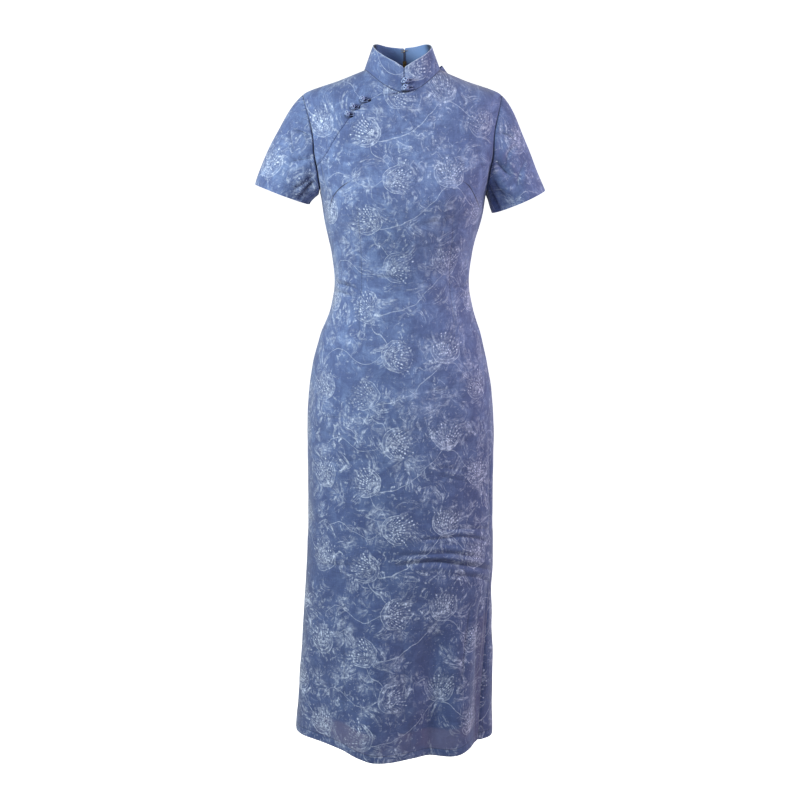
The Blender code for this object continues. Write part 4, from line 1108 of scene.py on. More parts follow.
def head_ink(finish, across, up, rough):
    """A seed head: a cup drawn with two arcs, and stamens that fan out of it, with dots on them.

    Gives how much ink there is and how dark the cloth is round it.
    """
    x, y, dust, seed = nearest_head(finish, across, up)
    base_y = y + 0.72
    far = reach(x, base_y)
    lean = x.math("ARCTAN2", base_y)
    count = lean / STAMEN_TURN
    stamen = count.math("ROUND")
    aside = (count - stamen) * STAMEN_TURN * far
    step = far / STAMEN_STEP + finish.chance(stamen, seed)
    place = step.math("FLOOR")
    along = (step - place - 0.5) * (STAMEN_STEP * STAMEN_DASH)
    luck = finish.chance(stamen + place * 17.0, seed + 5.0)
    size = (0.62 + 0.20 * far) * STAMEN_DOT
    dots = reach(aside, along).between(size * 1.7, size * 0.5)
    dots = dots * luck.between(0.22, 0.50) * (0.25 + 0.85 * finish.chance(place, stamen) ** 1.5)
    hairs = line_ink(aside, 0.014) * far.between(0.3, 0.7) * (0.05 + 0.26 * rough)
    end = 1.42 + finish.chance(stamen, seed + 2.0) * 0.40
    fan = abs(lean).between(1.16, 0.92) * (end - far).between(0.0, 0.10) * far.between(0.22, 0.42)
    round_ = reach(x, y)
    inner = reach(x * 1.04, y - 0.16)
    fan = fan * (inner.between(0.97, 0.90)).math("MAXIMUM", y.between(0.10, 0.35))
    fanned = dots.math("MAXIMUM", hairs) * fan

    low = y.between(0.50, -0.25)
    lit = finish.noise(finish.point(x, y, seed), 1.3, 2.0).between(0.42, 0.66)
    outer_line = line_ink(round_ - 1.0, 0.024) * low
    inner_line = line_ink(inner - 0.93, 0.020) * y.between(0.30, -0.15)
    shell = round_.between(1.0, 0.96) * inner.between(0.90, 0.95) * low
    haze = reach(x * 0.8, base_y * 1.3 - 0.2).between(0.62, 0.05) * round_.between(1.0, 0.85)
    puff = reach(x, y - 0.15).between(1.20, 0.30)
    drawn = fanned.math("MAXIMUM", outer_line * (0.18 + 0.5 * rough))
    drawn = drawn.math("MAXIMUM", inner_line * (0.12 + 0.42 * rough))
    soft = shell * (0.04 + 0.46 * lit * rough) + haze * rough * (0.12 + 0.55 * lit)
    soft = soft + puff * rough * dust * 0.30
    return (drawn + soft) * (0.72 + 0.5 * finish.chance(seed, 3.0)), (
        reach(x, y - 0.25).between(1.20, 0.65) * 0.8)


def stem_ink(across, up):
    ink = None
    for stem in STEMS:
        along = wrapped(across, stem.x + stem.run / 2, REPEAT[0]) / stem.run + 0.5
        t = along.math("MAXIMUM", 0.0).math("MINIMUM", 1.0)
        line = (t**stem.bend) * stem.climb + (t * (2 * math.pi)).math("SINE") * stem.hump
        off = wrapped(up - line, stem.y, REPEAT[1])
        steep = 1.0 + 1.0 * abs(stem.climb) / stem.run
        drawn = line_ink(off / steep, STEM_WIDTH)
        drawn = drawn * along.between(-0.01, 0.02) * along.between(1.01, 0.98)
        ink = drawn if ink is None else ink.math("MAXIMUM", drawn)
    return ink


def scattered(finish, across, up, size, shift):
    """The place from the nearest of some scattered points, and that point's own three numbers."""
    node = finish.node("ShaderNodeTexVoronoi")
    node.voronoi_dimensions = "2D"
    node.inputs["Scale"].default_value = 1 / size
    finish.feed(node.inputs["Vector"], finish.point(across + shift, up))
    middle, own = finish.node("ShaderNodeSeparateXYZ"), finish.node("ShaderNodeSeparateColor")
    finish.tree.links.new(node.outputs["Position"], middle.inputs[0])
    finish.tree.links.new(node.outputs["Color"], own.inputs[0])
    x = across + shift - Value(finish, middle.outputs["X"])
    y = up - Value(finish, middle.outputs["Y"])
    return x, y, [Value(finish, own.outputs[name]) for name in ("Red", "Green", "Blue")]


def burst_ink(finish, across, up, size, fill, petals, shift):
    """Leaves of brush strokes that fan out of scattered points, in a share of the places."""
    x, y, (luck, kind, form) = scattered(finish, across, up, size, shift)
    far = reach(x, y) + 0.0001
    place = far / size
    ring = finish.point(x / far * petals, y / far * petals, place * 1.2 + form * 20.0)
    strokes = finish.noise(ring, 1.0, 2.5, 0.6, 0.5).between(0.44, 0.68)
    end = 0.30 + 0.36 * kind
    return strokes * place.between(end, end * 0.45) * place.between(0.02, 0.12) * luck.between(
        1.0 - fill, 1.12 - fill)


def brush_ink(finish, across, up, size, fill, hatch, shift):
    """Soft patches of brush strokes side by side, each patch leaning its own way."""
    x, y, (luck, kind, form) = scattered(finish, across, up, size, shift)
    lean = kind * (2 * math.pi)
    c, s = lean.math("COSINE"), lean.math("SINE")
    along, side = (x * c + y * s) / size, (y * c - x * s) / size
    side = side + along * along * (form - 0.5) * 2.0
    place = finish.point(along * 1.5, side * (size / hatch), form * 30.0)
    strokes = finish.noise(place, 1.0, 2.5, 0.6, 0.4)
    patch = reach(along * 1.1, side * 1.9).between(0.52, 0.24)
    return strokes.between(0.44, 0.66) * patch * luck.between(1.0 - fill, 1.1 - fill)


def print_colour(finish, strength=1.0):
    """The printed cloth's colour: a mottled wash, and the seed heads, stems and leaves over it."""
    across, up = finish.cut()
    flat = finish.point(across, up)
    low = up.between(0.22, -0.35)
    waver = finish.noise(flat, 30.0, 2.0)
    across = across + (waver - 0.5) * 0.014
    up = up + (finish.noise(finish.point(up, across, 2.0), 27.0, 2.0) - 0.5) * 0.014
    rough = finish.noise(flat, 190.0, 3.0, 0.6).between(0.34, 0.70)
    broad = finish.noise(flat, 8.0, 2.0, 0.5)
    clouds = finish.noise(flat, 34.0, 5.0, 0.70, 0.8)
    smudges = finish.noise(finish.point(across * 1.3, up, 4.0), 62.0, 4.0, 0.68, 1.4)
    dabs = finish.noise(finish.point(across, up * 1.4, 9.0), 120.0, 3.0, 0.66, 1.0)
    threads = finish.noise(finish.point(across * 330.0, up * 34.0), 1.0, 2.0, 0.6) + finish.noise(
        finish.point(across * 30.0, up * 360.0, 3.0), 1.0, 2.0, 0.6)
    grain = finish.noise(flat, 420.0, 2.0, 0.6)

    heads, dark = head_ink(finish, across, up, rough)
    stems = stem_ink(across, up) * (0.18 + 0.32 * rough)
    leaves = burst_ink(finish, across, up, 0.052, 0.46, 2.0, 0.31) * (0.10 + 0.36 * rough)
    sprays = burst_ink(finish, across, up, 0.034, 0.34, 2.2, 1.77) * (0.08 + 0.40 * rough)
    brushed = brush_ink(finish, across, up, 0.052, 0.72, 0.0042, 2.43) * (0.08 + 0.50 * rough)
    hatched = brush_ink(finish, across, up, 0.036, 0.62, 0.0032, 3.19) * (0.06 + 0.48 * rough)
    spots = smudges.between(0.54, 0.68) * broad.between(0.36, 0.54) * (0.14 + 0.48 * rough)
    ink = heads.math("MAXIMUM", stems)
    for drawn in (leaves, sprays, brushed, hatched):
        ink = ink.math("MAXIMUM", drawn)
    ink = ink + spots + dabs.between(0.60, 0.78) * 0.30
    ink = (ink * (1.12 + 0.32 * low) * strength).math("MINIMUM", 1.0)
    base = clouds.between(0.34, 0.68).mix(linear(DEEP_COLOUR), linear(BASE_COLOUR))
    light = clouds.between(0.46, 0.74) * 0.42 + broad.between(0.42, 0.70) * 0.12
    light = light + (grain - 0.5) * 0.35
    base = light.math("MAXIMUM", 0.0).mix(base, linear(WASH_COLOUR))
    base = (dark * strength * grain.between(0.70, 0.30)).mix(base, linear(SHADE_COLOUR))
    # The base is darker towards the hem.
    base = (low * 0.55).mix(base, linear(LOW_COLOUR))
    tone = 1.0 + (threads - 1.0) * 0.42
    return finish.scaled(ink.mix(base, linear(INK_COLOUR)), tone), flat


def weave(finish, flat):
    """The relief of the cloth: threads both ways, thicker here and there."""
    across, up = finish.cut()
    slub = finish.noise(finish.point(across * 40.0, up * 900.0), 1.0, 2.0)
    warp = finish.noise(finish.point(across * 900.0, up * 40.0), 1.0, 2.0)
    crumple = finish.noise(flat, 60.0, 4.0, 0.55, 0.3)
    return slub * 0.25 + warp * 0.25 + crumple * 1.4


def stitched_and_shaded(finish, base):
    """Darts, edges, the slits' facings and the hem's sheer band over a colour, and painted shade in
    the folds, round the knots and where a piece stores shade.
    """
    dart = line_ink(finish.stored("dart"), 0.0011) * finish.stored("dart_fade")
    away, hem = finish.stored("from_edge"), finish.stored("from_hem")
    ragged = (finish.noise(finish.place(), 240.0, 2.0) - 0.5) * 0.008
    turn = line_ink(hem - HEM_TURN, 0.0008) * 0.40
    facing = line_ink(away - FACING, 0.0008) * finish.stored("slit") * 0.35
    # Where the lining ends above the hem, and along the slits, the tint is partly the unlined
    # cloth's own colour and partly painted light from behind.
    sheer = (hem + ragged).between(LINING_HEM + 0.003, LINING_HEM - 0.004)
    patchy = finish.noise(finish.place(), 14.0, 2.0).between(0.44, 0.60)
    sheer = sheer * hem.between(HEM_TURN - 0.001, HEM_TURN) * (0.06 + 0.34 * patchy)
    thin = (away + ragged).between(0.030, 0.018) * finish.stored("slit")
    thin = thin * finish.stored("sheer") * 0.30
    base = sheer.math("MAXIMUM", thin).mix(base, linear(SHEER_BACKLIT_COLOUR))
    # A painted highlight along the collar's top edge.
    base = (finish.stored("pale") * 0.5).mix(base, linear(INK_COLOUR))
    # Painted shade: each crease's trough is drawn darker, sharp at its core and soft round it.
    fold = abs(finish.stored("fold"))
    deep = fold.between(0.0015, 0.0002) * 0.34 + fold.between(0.006, 0.0) * 0.14
    edge = away.between(0.0011, 0.0003) * 0.40
    foot = finish.stored("foot").between(0.0016, 0.0002) * 0.55
    dark = dart + turn + facing + edge + foot + deep * finish.stored("fold_fade")
    # Painted shade stored by the pieces, and painted shadow round each knot.
    dark = dark + finish.stored("shade") + knot_shade(finish)
    return dark.math("MINIMUM", 0.92).mix(base, linear(SEAM_AND_SHADE_COLOUR))


def print_finish():
    finish = Finish("printed_cloth", roughness=0.78, specular=0.25, sheen=0.32)
    base, flat = print_colour(finish)
    finish.colour(stitched_and_shaded(finish, base))
    finish.bump(weave(finish, flat), 0.0009)
    return finish.material


def inside_finish():
    """The inside of the body: the lining, and the print's pale reverse below the lining's hem."""
    finish = Finish("body_lining", roughness=0.6, specular=0.35, sheen=0.1)
    base, flat = print_colour(finish, 0.45)
    lining = finish.noise(flat, 24.0, 3.0).mix(linear(LINING_DULL), linear(LINING_COLOUR))
    below = finish.stored("from_hem").between(LINING_HEM, LINING_HEM - 0.001)
    finish.colour(below.mix(lining, base))
    finish.bump(weave(finish, flat), 0.0005)
    return finish.material


def lining_finish():
    """Smooth lining cloth, in deep shade where the collar turns to the front."""
    finish = Finish("collar_lining", roughness=0.55, specular=0.35, sheen=0.1)
    across, up = finish.cut()
    flat = finish.point(across, up)
    plain = finish.noise(flat, 60.0, 3.0).mix(linear(COLLAR_LINING_DULL), linear(LINING_COLOUR))
    seam = line_ink(up - COLLAR_TALL * 0.42, 0.0006) * 0.4
    dark = (finish.stored("shade") * 0.93).math("MAXIMUM", seam)
    finish.colour(dark.mix(plain, linear(LINING_SHADE)))
    finish.bump(weave(finish, flat), 0.0004)
    return finish.material


def cord_finish():
    finish = Finish("rolled_cord", roughness=0.34, specular=0.7, sheen=0.1)
    place = finish.place()
    spots = finish.noise(place, 700.0, 3.0, 0.6)
    colour = spots.between(0.35, 0.75).mix(linear(CORD_COLOUR), linear(CORD_SHINE))
    finish.colour(colour)
    finish.bump(finish.noise(place, 1600.0, 2.0), 0.00004)
    return finish.material


def core_shade_finish():
    """Painted shade between a knot's strands: its core is coloured dark."""
    finish = Finish("knot_core_shade", roughness=0.6, specular=0.3)
    grain = finish.noise(finish.place(), 900.0, 2.0)
    finish.colour(grain.mix(linear(TEETH_AND_KNOT_SHADE_COLOUR), linear(CORE_SHINE)))
    return finish.material


def teeth_finish():
    finish = Finish("zip_teeth", roughness=0.4, specular=0.5)
    place = finish.place()
    finish.colour(finish.noise(place, 900.0, 2.0).mix(linear(TEETH_AND_KNOT_SHADE_COLOUR), linear(TEETH_SHINE)))
    finish.bump(finish.noise(place, 3000.0, 1.0), 0.0001)
    return finish.material


def tape_finish():
    finish = Finish("zip_tape", roughness=0.7, specular=0.3, sheen=0.1)
    place = finish.place()
    finish.colour(finish.noise(place, 1200.0, 2.0).mix(*map(linear, TAPE_COLOURS)))
    finish.bump(finish.noise(place, 3000.0, 1.0), 0.0002)
    return finish.material


def brass_finish():
    finish = Finish("brass", roughness=0.32, specular=0.5, metallic=1.0)
    place = finish.place()
    worn = finish.noise(place, 420.0, 4.0, 0.6)
    finish.colour(worn.between(0.3, 0.7).mix(*map(linear, BRASS_COLOURS)))
    finish.roughness(0.22 + worn * 0.25)
    finish.bump(finish.noise(place, 1800.0, 2.0), 0.00005)
    return finish.material


# --- Creases --------------------------------------------------------------------------------------
def surface_path(surface, places, steps=28):
    """Points along a smooth path through a few places on a surface."""
    places = np.array(places, float)
    knots = np.linspace(0, 1, len(places))
    t = np.linspace(0, 1, steps)
    u, v = (smooth_table(knots, column)(t) for column in places.T)
    return surface(u, v)


def off_path(points, facing, path, reach):
    """How far each point lies from a path, to its left if more than 0, and how far along it is."""
    near = ((points > path.min(axis=0) - reach) & (points < path.max(axis=0) + reach)).all(axis=-1)
    spots, out = points[near], facing[near]
    far, side = np.full(len(spots), np.inf), np.ones(len(spots))
    along = np.zeros(len(spots))
    lengths = np.linalg.norm(np.diff(path, axis=0), axis=1)
    shares = np.concatenate([[0], np.cumsum(lengths)]) / lengths.sum()
    for start, end, first, last in zip(path[:-1], path[1:], shares[:-1], shares[1:]):
        way = end - start
        share = np.clip((spots - start) @ way / way.dot(way), 0, 1)
        away = spots - start - share[:, None] * way
        distance = np.linalg.norm(away, axis=1)
        closer = distance < far
        far[closer] = distance[closer]
        left = np.sum(np.cross(way, out) * away, axis=1) < 0
        side[closer] = np.where(left, 1.0, -1.0)[closer]
        along[closer] = (first + share * (last - first))[closer]
    return near, far, side, along


def creased(points, facing, surface, creases):
    """How far creases move each point out, how near the nearest is, how dark its painted shade is,
    and the broad painted shade of the deepest.

    The distance is less than 0 to the right of the path. Only the deepest creases get the broad
    painted shade.
    """
    moved, shade = np.zeros(points.shape[:-1]), np.zeros(points.shape[:-1])
    nearest, strength = np.full(moved.shape, 0.05), np.zeros(moved.shape)
    for number, crease in enumerate(creases):
        path = surface_path(surface, [(math.radians(a), b) for a, b in crease.path])
        deep, width = crease.deep / 1000, crease.width / 1000
        near, far, side, along = off_path(points, facing, path, 5 * width)
        fade = np.sin(np.pi * np.clip(along, 0.0, 1.0)).clip(0.0) ** 0.7
        uneven = 1 + 0.3 * np.sin(17 * along + number) * np.sin(7 * along + 2.3 * number)
        trough = 0.6 * np.exp(-((far / width) ** 2)) + 0.4 * np.exp(-((2.2 * far / width) ** 2))
        beside = side * far / width
        ridge = np.exp(-(((beside - 2.1) / 1.25) ** 2))
        ridge = ridge + 0.4 * np.exp(-(((beside + 2.2) / 1.4) ** 2))
        moved[near] += deep * fade * uneven * (crease.ridge * ridge - trough)
        closer = far < np.abs(nearest[near])
        nearest[near] = np.where(closer, side * far, nearest[near])
        # How dark each crease's trough is painted, and the broad painted shade of the deepest
        # creases.
        fade = fade * min(deep / 0.003, 1.0) * ease((0.009 - far) / 0.003)
        strength[near] = np.where(closer, fade, strength[near])
        shade[near] += trough * fade * np.clip((deep - 0.0056) / 0.004, 0, 1)
    return moved, nearest, strength, shade.clip(0, 1)


def darted(points, facing, surface, darts):
    """How far the darts pull each point in, and how near and strong the nearest is."""
    moved = np.zeros(points.shape[:-1])
    nearest, strength = np.full(moved.shape, 0.05), np.zeros(moved.shape)
    for dart in darts:
        path = surface_path(surface, [(math.radians(a), b) for a, b in dart.path])
        deep, width = dart.deep / 1000, dart.width / 1000
        near, far, side, along = off_path(points, facing, path, 5 * width)
        fade = ease(along / 0.25) * ease((1 - along) / 0.15)
        moved[near] -= deep * (0.3 + 0.7 * fade) * np.exp(-((far / width) ** 2))
        closer = far < np.abs(nearest[near])
        nearest[near] = np.where(closer, side * far, nearest[near])
        fade = dart.dark * fade * ease((0.009 - far) / 0.003)
        strength[near] = np.where(closer, fade, strength[near])
    return moved, nearest, strength


def waved(across, up):
    """The cloth's own slight unevenness."""
    out = np.zeros(across.shape)
    for round_, down, start in WAVES:
        out = out + np.sin(2 * math.pi * (round_ * across + down * up) / 2 + start)
    return EASE * out / len(WAVES) ** 0.5


def seam_dip(away):
    return -SEAM_DIP * np.exp(-((away / SEAM_WIDTH) ** 2))


# --- Cloth ----------------------------------------------------------------------------------------
def loft(name, grid, places, closed=False):
    """A mesh through rows of points, with its place on the flat cloth as a UV map, in metres.

    places has one more column than grid where the loft is closed.
    """
    rows, columns = grid.shape[:2]
    wide = columns if closed else columns - 1
    row, column = np.meshgrid(np.arange(rows - 1), np.arange(wide), indexing="ij")
    after = (column + 1) % columns
    corners = [(row, column), (row + 1, column), (row + 1, after), (row, after)]
    faces = np.stack([r * columns + c for r, c in corners], axis=-1).reshape(-1, 4)
    mesh = bpy.data.meshes.new(name)
    mesh.from_pydata(grid.reshape(-1, 3).tolist(), [], faces.tolist())
    corners = [(row, column), (row + 1, column), (row + 1, column + 1), (row, column + 1)]
    cut = np.stack([places[r, c] for r, c in corners], axis=2)
    layer = mesh.uv_layers.new(name="cut")
    layer.data.foreach_set("uv", cut.astype(np.float32).ravel())
    mesh.shade_smooth()
    return mesh


def cloth(name, grid, places, thickness, finishes, closed=False, **values):
    """A piece of cloth with its outer face on the grid, its own thickness and rounded edges."""
    mesh = loft(name, grid, places, closed)
    for kind, plain in STORED.items():
        layer = mesh.attributes.new(kind, "FLOAT", "POINT")
        value = np.asarray(values.get(kind, plain), np.float32)
        value = np.broadcast_to(value, grid.shape[:2])
        layer.data.foreach_set("value", value.ravel())
    for finish in finishes:
        mesh.materials.append(finish)
    found = add_object(f"{name}_cloth", mesh)
    solid = found.modifiers.new("thickness", "SOLIDIFY")
    solid.thickness = thickness
    solid.offset = -1.0
    solid.material_offset = 1
    edge = found.modifiers.new("edge", "BEVEL")
    edge.width = thickness * 0.3
    edge.segments = 2
    edge.limit_method = "ANGLE"
    edge.angle_limit = math.radians(60)
    return found


def wear(piece, node):
    """The piece moves with the dress and stands for a solid."""
    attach(piece, "dress")
    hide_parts(node)
    return piece


def arc_from_centre(angle, drop, centre):
    """How far round the dress a place lies from a centre line, at its own drop."""
    share = np.linspace(0, 1, 13)
    turns = centre + (angle - centre)[..., None] * share
    line = ring_point(turns, np.repeat(drop[..., None], len(share), axis=-1))
    length = np.linalg.norm(np.diff(line, axis=-2), axis=-1).sum(axis=-1)
    return np.sign(angle - centre) * length


def cut_height(angle, drop):
    """How far up the flat cloth a place lies from the waist."""
    share = np.linspace(0, 1, 17)
    drops = WAIST + (drop - WAIST)[..., None] * share
    line = ring_point(np.repeat(angle[..., None], len(share), axis=-1), drops)[..., 1:]
    return np.sign(WAIST - drop) * np.linalg.norm(np.diff(line, axis=-2), axis=-1).sum(axis=-1)


def height_over_hem(grid):
    """How far up the cloth each point lies from the last row."""
    down = passed(grid[..., 1:], 0)
    return down[-1] - down


def edge_distance(grid):
    """How far each point lies from the start and the end of its row, along the row."""
    from_start = passed(grid, 1)
    return from_start, from_start[:, -1:] - from_start


def panel(
    name, drops, starts, ends, columns, centre, creases, darts, corners=(), under=None, lapel=None
):
    """A panel of the dress between two edges, given as angles at each row's drop.

    under is the end of the rows, 0 or 1, that lies under the next panel along a slit, and lapel the
    one at the front opening. The right back's first edge is turned in under the left back's.
    """
    across = spread(columns, 0.30)[None, :]
    starts, ends = np.asarray(starts)[:, None], np.asarray(ends)[:, None]
    slit = ease((drops - SLIT_TOP) / 0.02)[:, None]
    tuck = SLIT_TUCK * slit / RING_AT["half_width"](drops)[:, None]
    starts = starts - tuck * (under == 0)
    ends = ends + tuck * (under == 1)
    closed = BACK_TUCK * ease((drops - ZIP_TOP_LENGTH) / 0.02)[:, None] * (name == "back_right")
    starts = starts - closed / RING_AT["half_width"](drops)[:, None]
    angle = starts + (ends - starts) * across
    drop = np.repeat(drops[:, None], columns + 1, axis=1)
    around = np.abs(ends[-1] - starts[-1]) * RING_AT["half_width"](HEM) * 0.86
    lift = HEM_LIFT_AT(turned(angle, 0.0))
    for end, radius in corners:
        lift = lift + corner_lift(np.abs(across - end) * around, radius)
    low = ease((drop - (HEM - HEM_REACH)) / HEM_REACH)
    drop = drop - lift * low
    plain, facing = dress_point(angle, drop), dress_normal(angle, drop)
    u, v = arc_from_centre(angle, drop, centre), cut_height(angle, drop) - WAIST
    to_start, to_end = edge_distance(plain)
    away = np.minimum(to_start, to_end)
    from_hem = height_over_hem(plain) if drops[-1] > WAIST else 1.0
    moved, fold, fold_fade, shade = creased(plain, facing, dress_point, creases)
    pulled, dart, dart_fade = darted(plain, facing, dress_point, darts)
    calm = ease(away / 0.02) * ease(drop / 0.03)
    moved = moved * ease(away / 0.006) + pulled + waved(u, v) * calm + seam_dip(away)
    if under is not None:
        over = to_end if under else to_start
        moved = moved - SLIT_DEPTH * slit * ease(1.5 - over / SLIT_TUCK)
    if name == "back_right":
        moved = moved - BACK_DEPTH * ease(drop / 0.06) * ease(1.5 - to_start / BACK_TUCK)
    if name == "back_left":
        turn, place, tall, wide, long = PINCH
        beside = (angle - math.radians(turn)) / math.radians(wide)
        moved = moved + tall * np.exp(-(beside**2) - ((drop - place) / long) ** 2)
    if lapel is not None:
        over = to_end if lapel else to_start
        other = to_start if lapel else to_end
        away = np.where(drop < LAPEL_END, np.minimum(away + 0.0007, other), away)
    if lapel == 1:
        moved = moved - LAPEL_DEPTH * ease(1.4 - over / LAPEL_TUCK)
        shade = shade + ease(1.3 - over / LAPEL_TUCK) * np.clip(gape(drops) * 40, 0, 1)[:, None]
    grid = plain + facing * moved[..., None]
    places = np.stack([u + PRINT_SHIFT[0], v + PRINT_SHIFT[1]], axis=-1)
    found = cloth(
        name, grid, places, CLOTH, (PRINT, INSIDE),
        from_hem=from_hem, from_edge=away, dart=dart, dart_fade=dart_fade, fold=fold,
        fold_fade=fold_fade, slit=slit, shade=shade,
        sheer=to_end < away + 0.001 if name == "front_main" else 0.0,
    )
    wear(found, name)


def gape(drops):
    """How far the front opening's lower edge hangs away from the upper one, as an angle."""
    total = np.zeros(len(drops))
    for start, end in GAPES:
        total = total + np.sin(math.pi * np.clip((drops - start) / (end - start), 0, 1)) ** 1.2
    return GAPE * total / RING_AT["half_width"](drops)


def make_fronts():
    drops = panel_drops()
    opening = np.array([row.drop for row in LAPEL] + [(a + b) / 2 for a, b in GAPES])
    upper = np.unique(np.round(np.concatenate([drops[drops < LAPEL_END], opening]), 5))
    upper = upper[np.concatenate([[True], np.diff(upper) > 0.0012])]
    upper[-1] = LAPEL_END
    starts = -side_edge(upper, "front", -1)
    ends = lapel_edge(upper, -1) + LAPEL_TUCK * ease(upper / 0.006) / RING_AT["half_width"](upper)
    panel("front_shoulder", upper, starts, ends, SHOULDER_COLUMNS, 0.0, FRONT_CREASES, (), lapel=1)
    main = np.concatenate([upper, drops[drops > LAPEL_END + 0.002]])
    opened = main < LAPEL_END + 0.0005
    starts = np.where(opened, lapel_edge(main, 1) + gape(main), -side_edge(main, "front", -1))
    ends = side_edge(main, "front", 1)
    panel("front_main", main, starts, ends, FRONT_COLUMNS, 0.0, FRONT_CREASES, FRONT_DARTS,
          FRONT_CORNERS, lapel=0)


def make_backs():
    drops = panel_drops()
    gap = SEAM + (ZIP_TOP_GAP - SEAM) * (1 - ease(drops / ZIP_TOP_LENGTH))
    centre = gap / 2 / RING_AT["half_width"](drops)
    starts = math.pi - side_edge(drops, "back", 1)
    panel("back_left", drops, starts, centre_back(drops) - centre, BACK_COLUMNS, math.pi,
          BACK_CREASES, BACK_DARTS, ((0, BACK_CORNER),), under=0)
    ends = math.pi + side_edge(drops, "back", -1)
    panel("back_right", drops, centre_back(drops) + centre, ends, BACK_COLUMNS, math.pi,
          BACK_CREASES, BACK_DARTS, ((1, BACK_CORNER),), under=1)


def wrapped_places(grid, shift):
    """The print's place on a sleeve, wrapped round the line from its top to its cuff."""
    top, bottom = grid[0, :-1].mean(axis=0), grid[-1, :-1].mean(axis=0)
    down = unit(bottom - top)
    front = np.array([0.0, -1.0, 0.0])
    front = unit(front - down * front.dot(down))
    side = np.cross(down, front)
    away = grid - top
    turn = np.unwrap(np.arctan2(away @ side, away @ front), axis=1)
    turn = turn - 2 * math.pi * np.round(turn[:, turn.shape[1] // 2].mean() / (2 * math.pi))
    return np.stack([shift[0] + turn * SLEEVE_PRINT, shift[1] - away @ down], axis=-1)


def make_sleeve(cuff):
    surface = sleeve_surface(cuff)
    turn = math.pi + np.linspace(0, 2 * math.pi, SLEEVE_COLUMNS + 1)[None, :]
    place = np.linspace(0, 1, SLEEVE_ROWS + 1)[:, None]
    turn, place = np.broadcast_arrays(-cuff.side * turn, place)
    plain = surface(turn, place)
    facing = normals(surface, turn, place, 0.01, 0.004) * cuff.side
    around, down = passed(plain, 1), passed(plain, 0)
    around = around - around[:, -1:] / 2
    moved, fold, fold_fade, shade = creased(plain, facing, surface, SLEEVE_CREASES[cuff.name])
    moved = moved * ease(down / 0.004) * ease((down[-1] - down) / 0.008 + 0.5)
    below = ease((np.abs((np.degrees(turn) + 180) % 360 - 180) - 15) / 60)
    moved = moved - below * SLEEVE_DIP * np.exp(-((down / 0.002) ** 2))
    moved = moved + waved(around, down) * ease(down / 0.02)
    grid = plain + facing * moved[..., None]
    way = unit(plain[1] - plain[0])
    tucked = grid[0] - way * SLEEVE_TUCK - facing[0] * (0.0004 + 0.0008 * below[0])[:, None]
    grid = np.concatenate([tucked[None], grid])
    places = wrapped_places(grid, SLEEVE_SHIFT[cuff.name])
    top = np.zeros((1, grid.shape[1]))
    down, fold = np.concatenate([top, down]), np.concatenate([top + 0.05, fold])
    found = cloth(
        cuff.name, grid[:, :-1], places, CLOTH, (PRINT, INSIDE), closed=True,
        from_edge=down[:, :-1], fold=fold[:, :-1],
        fold_fade=np.concatenate([top, fold_fade])[:, :-1],
        shade=np.concatenate([0.2 + 0.6 * below[:1], shade])[:, :-1],
    )
    wear(found, cuff.name)


def make_collar(name, side, depth, thickness, finishes):
    radius = (COLLAR_TOP_HALF_WIDTH + RINGS[0].half_width) / 2
    start = COLLAR_FRONT_GAP / 2 / radius
    rows, gaps = np.array(COLLAR_BACK_GAPS).T
    gap_at = smooth_table(rows[::-1], gaps[::-1])
    rows = np.linspace(1, -COLLAR_TUCK / COLLAR_TALL, COLLAR_ROWS + 1)[:, None]
    end = math.pi - side * NECK_TURN - gap_at(rows) / 2 / radius
    across = spread(COLLAR_COLUMNS, 0.45)[None, :]
    angle = start + (end - start) * across
    length = (end[0] - start) * radius
    lift = corner_lift(across * length, COLLAR_FRONT_CORNER)
    lift = lift + corner_lift((1 - across) * length, COLLAR_BACK_CORNER)
    height = rows * (1 - lift / COLLAR_TALL)
    if side < 0:
        angle, height = -angle[:, ::-1], height[:, ::-1]
    grid = collar_surface(angle, height) - collar_normal(angle, height) * depth
    places = np.stack([angle * radius + COLLAR_SHIFT, height * COLLAR_TALL + 0.03], axis=-1)
    if thickness == COLLAR_LINING:
        places[..., 1] -= 0.03
    top = (rows[0] - rows) * COLLAR_TALL
    front = np.abs(angle) * radius
    # pale is a painted highlight along the top edge, and shade the lining's painted shade where the
    # collar turns to the front.
    found = cloth(
        name, grid, places, thickness, finishes,
        pale=np.exp(-((top / 0.0006) ** 2)), from_edge=front + 0.0004,
        foot=np.minimum(rows * COLLAR_TALL, front),
        shade=(1 - ease((np.degrees(np.abs(angle)) - 106) / 26)) * (thickness == COLLAR_LINING),
    )
    wear(found, name)


def make_zip_top():
    """The zip's teeth where they show between the collar's halves, above the slider."""
    (low, high), half = ZIP_TEETH
    height = np.linspace(high, low, 91)[:, None]
    across = np.array([-1.0, -0.55, -0.12, 0.12, 0.55, 1.0])[None, :] * half
    angle = math.pi - NECK_TURN + across / COLLAR_TOP_HALF_WIDTH
    height, angle = np.broadcast_arrays(height, angle)
    teeth = 0.00022 * np.sign(np.sin(2 * math.pi * (high - height) * COLLAR_TALL / 0.0016))
    depth = COLLAR_CLOTH + SEAM + COLLAR_LINING + 0.0006 + teeth * (np.abs(across) < 0.7 * half)
    grid = collar_surface(angle, height) - collar_normal(angle, height) * depth[..., None]
    grid = grid[:, ::-1]
    found = cloth("zip_teeth", grid, np.stack([angle, height], axis=-1), 0.0006, (TEETH, TEETH))
    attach(found, "dress")


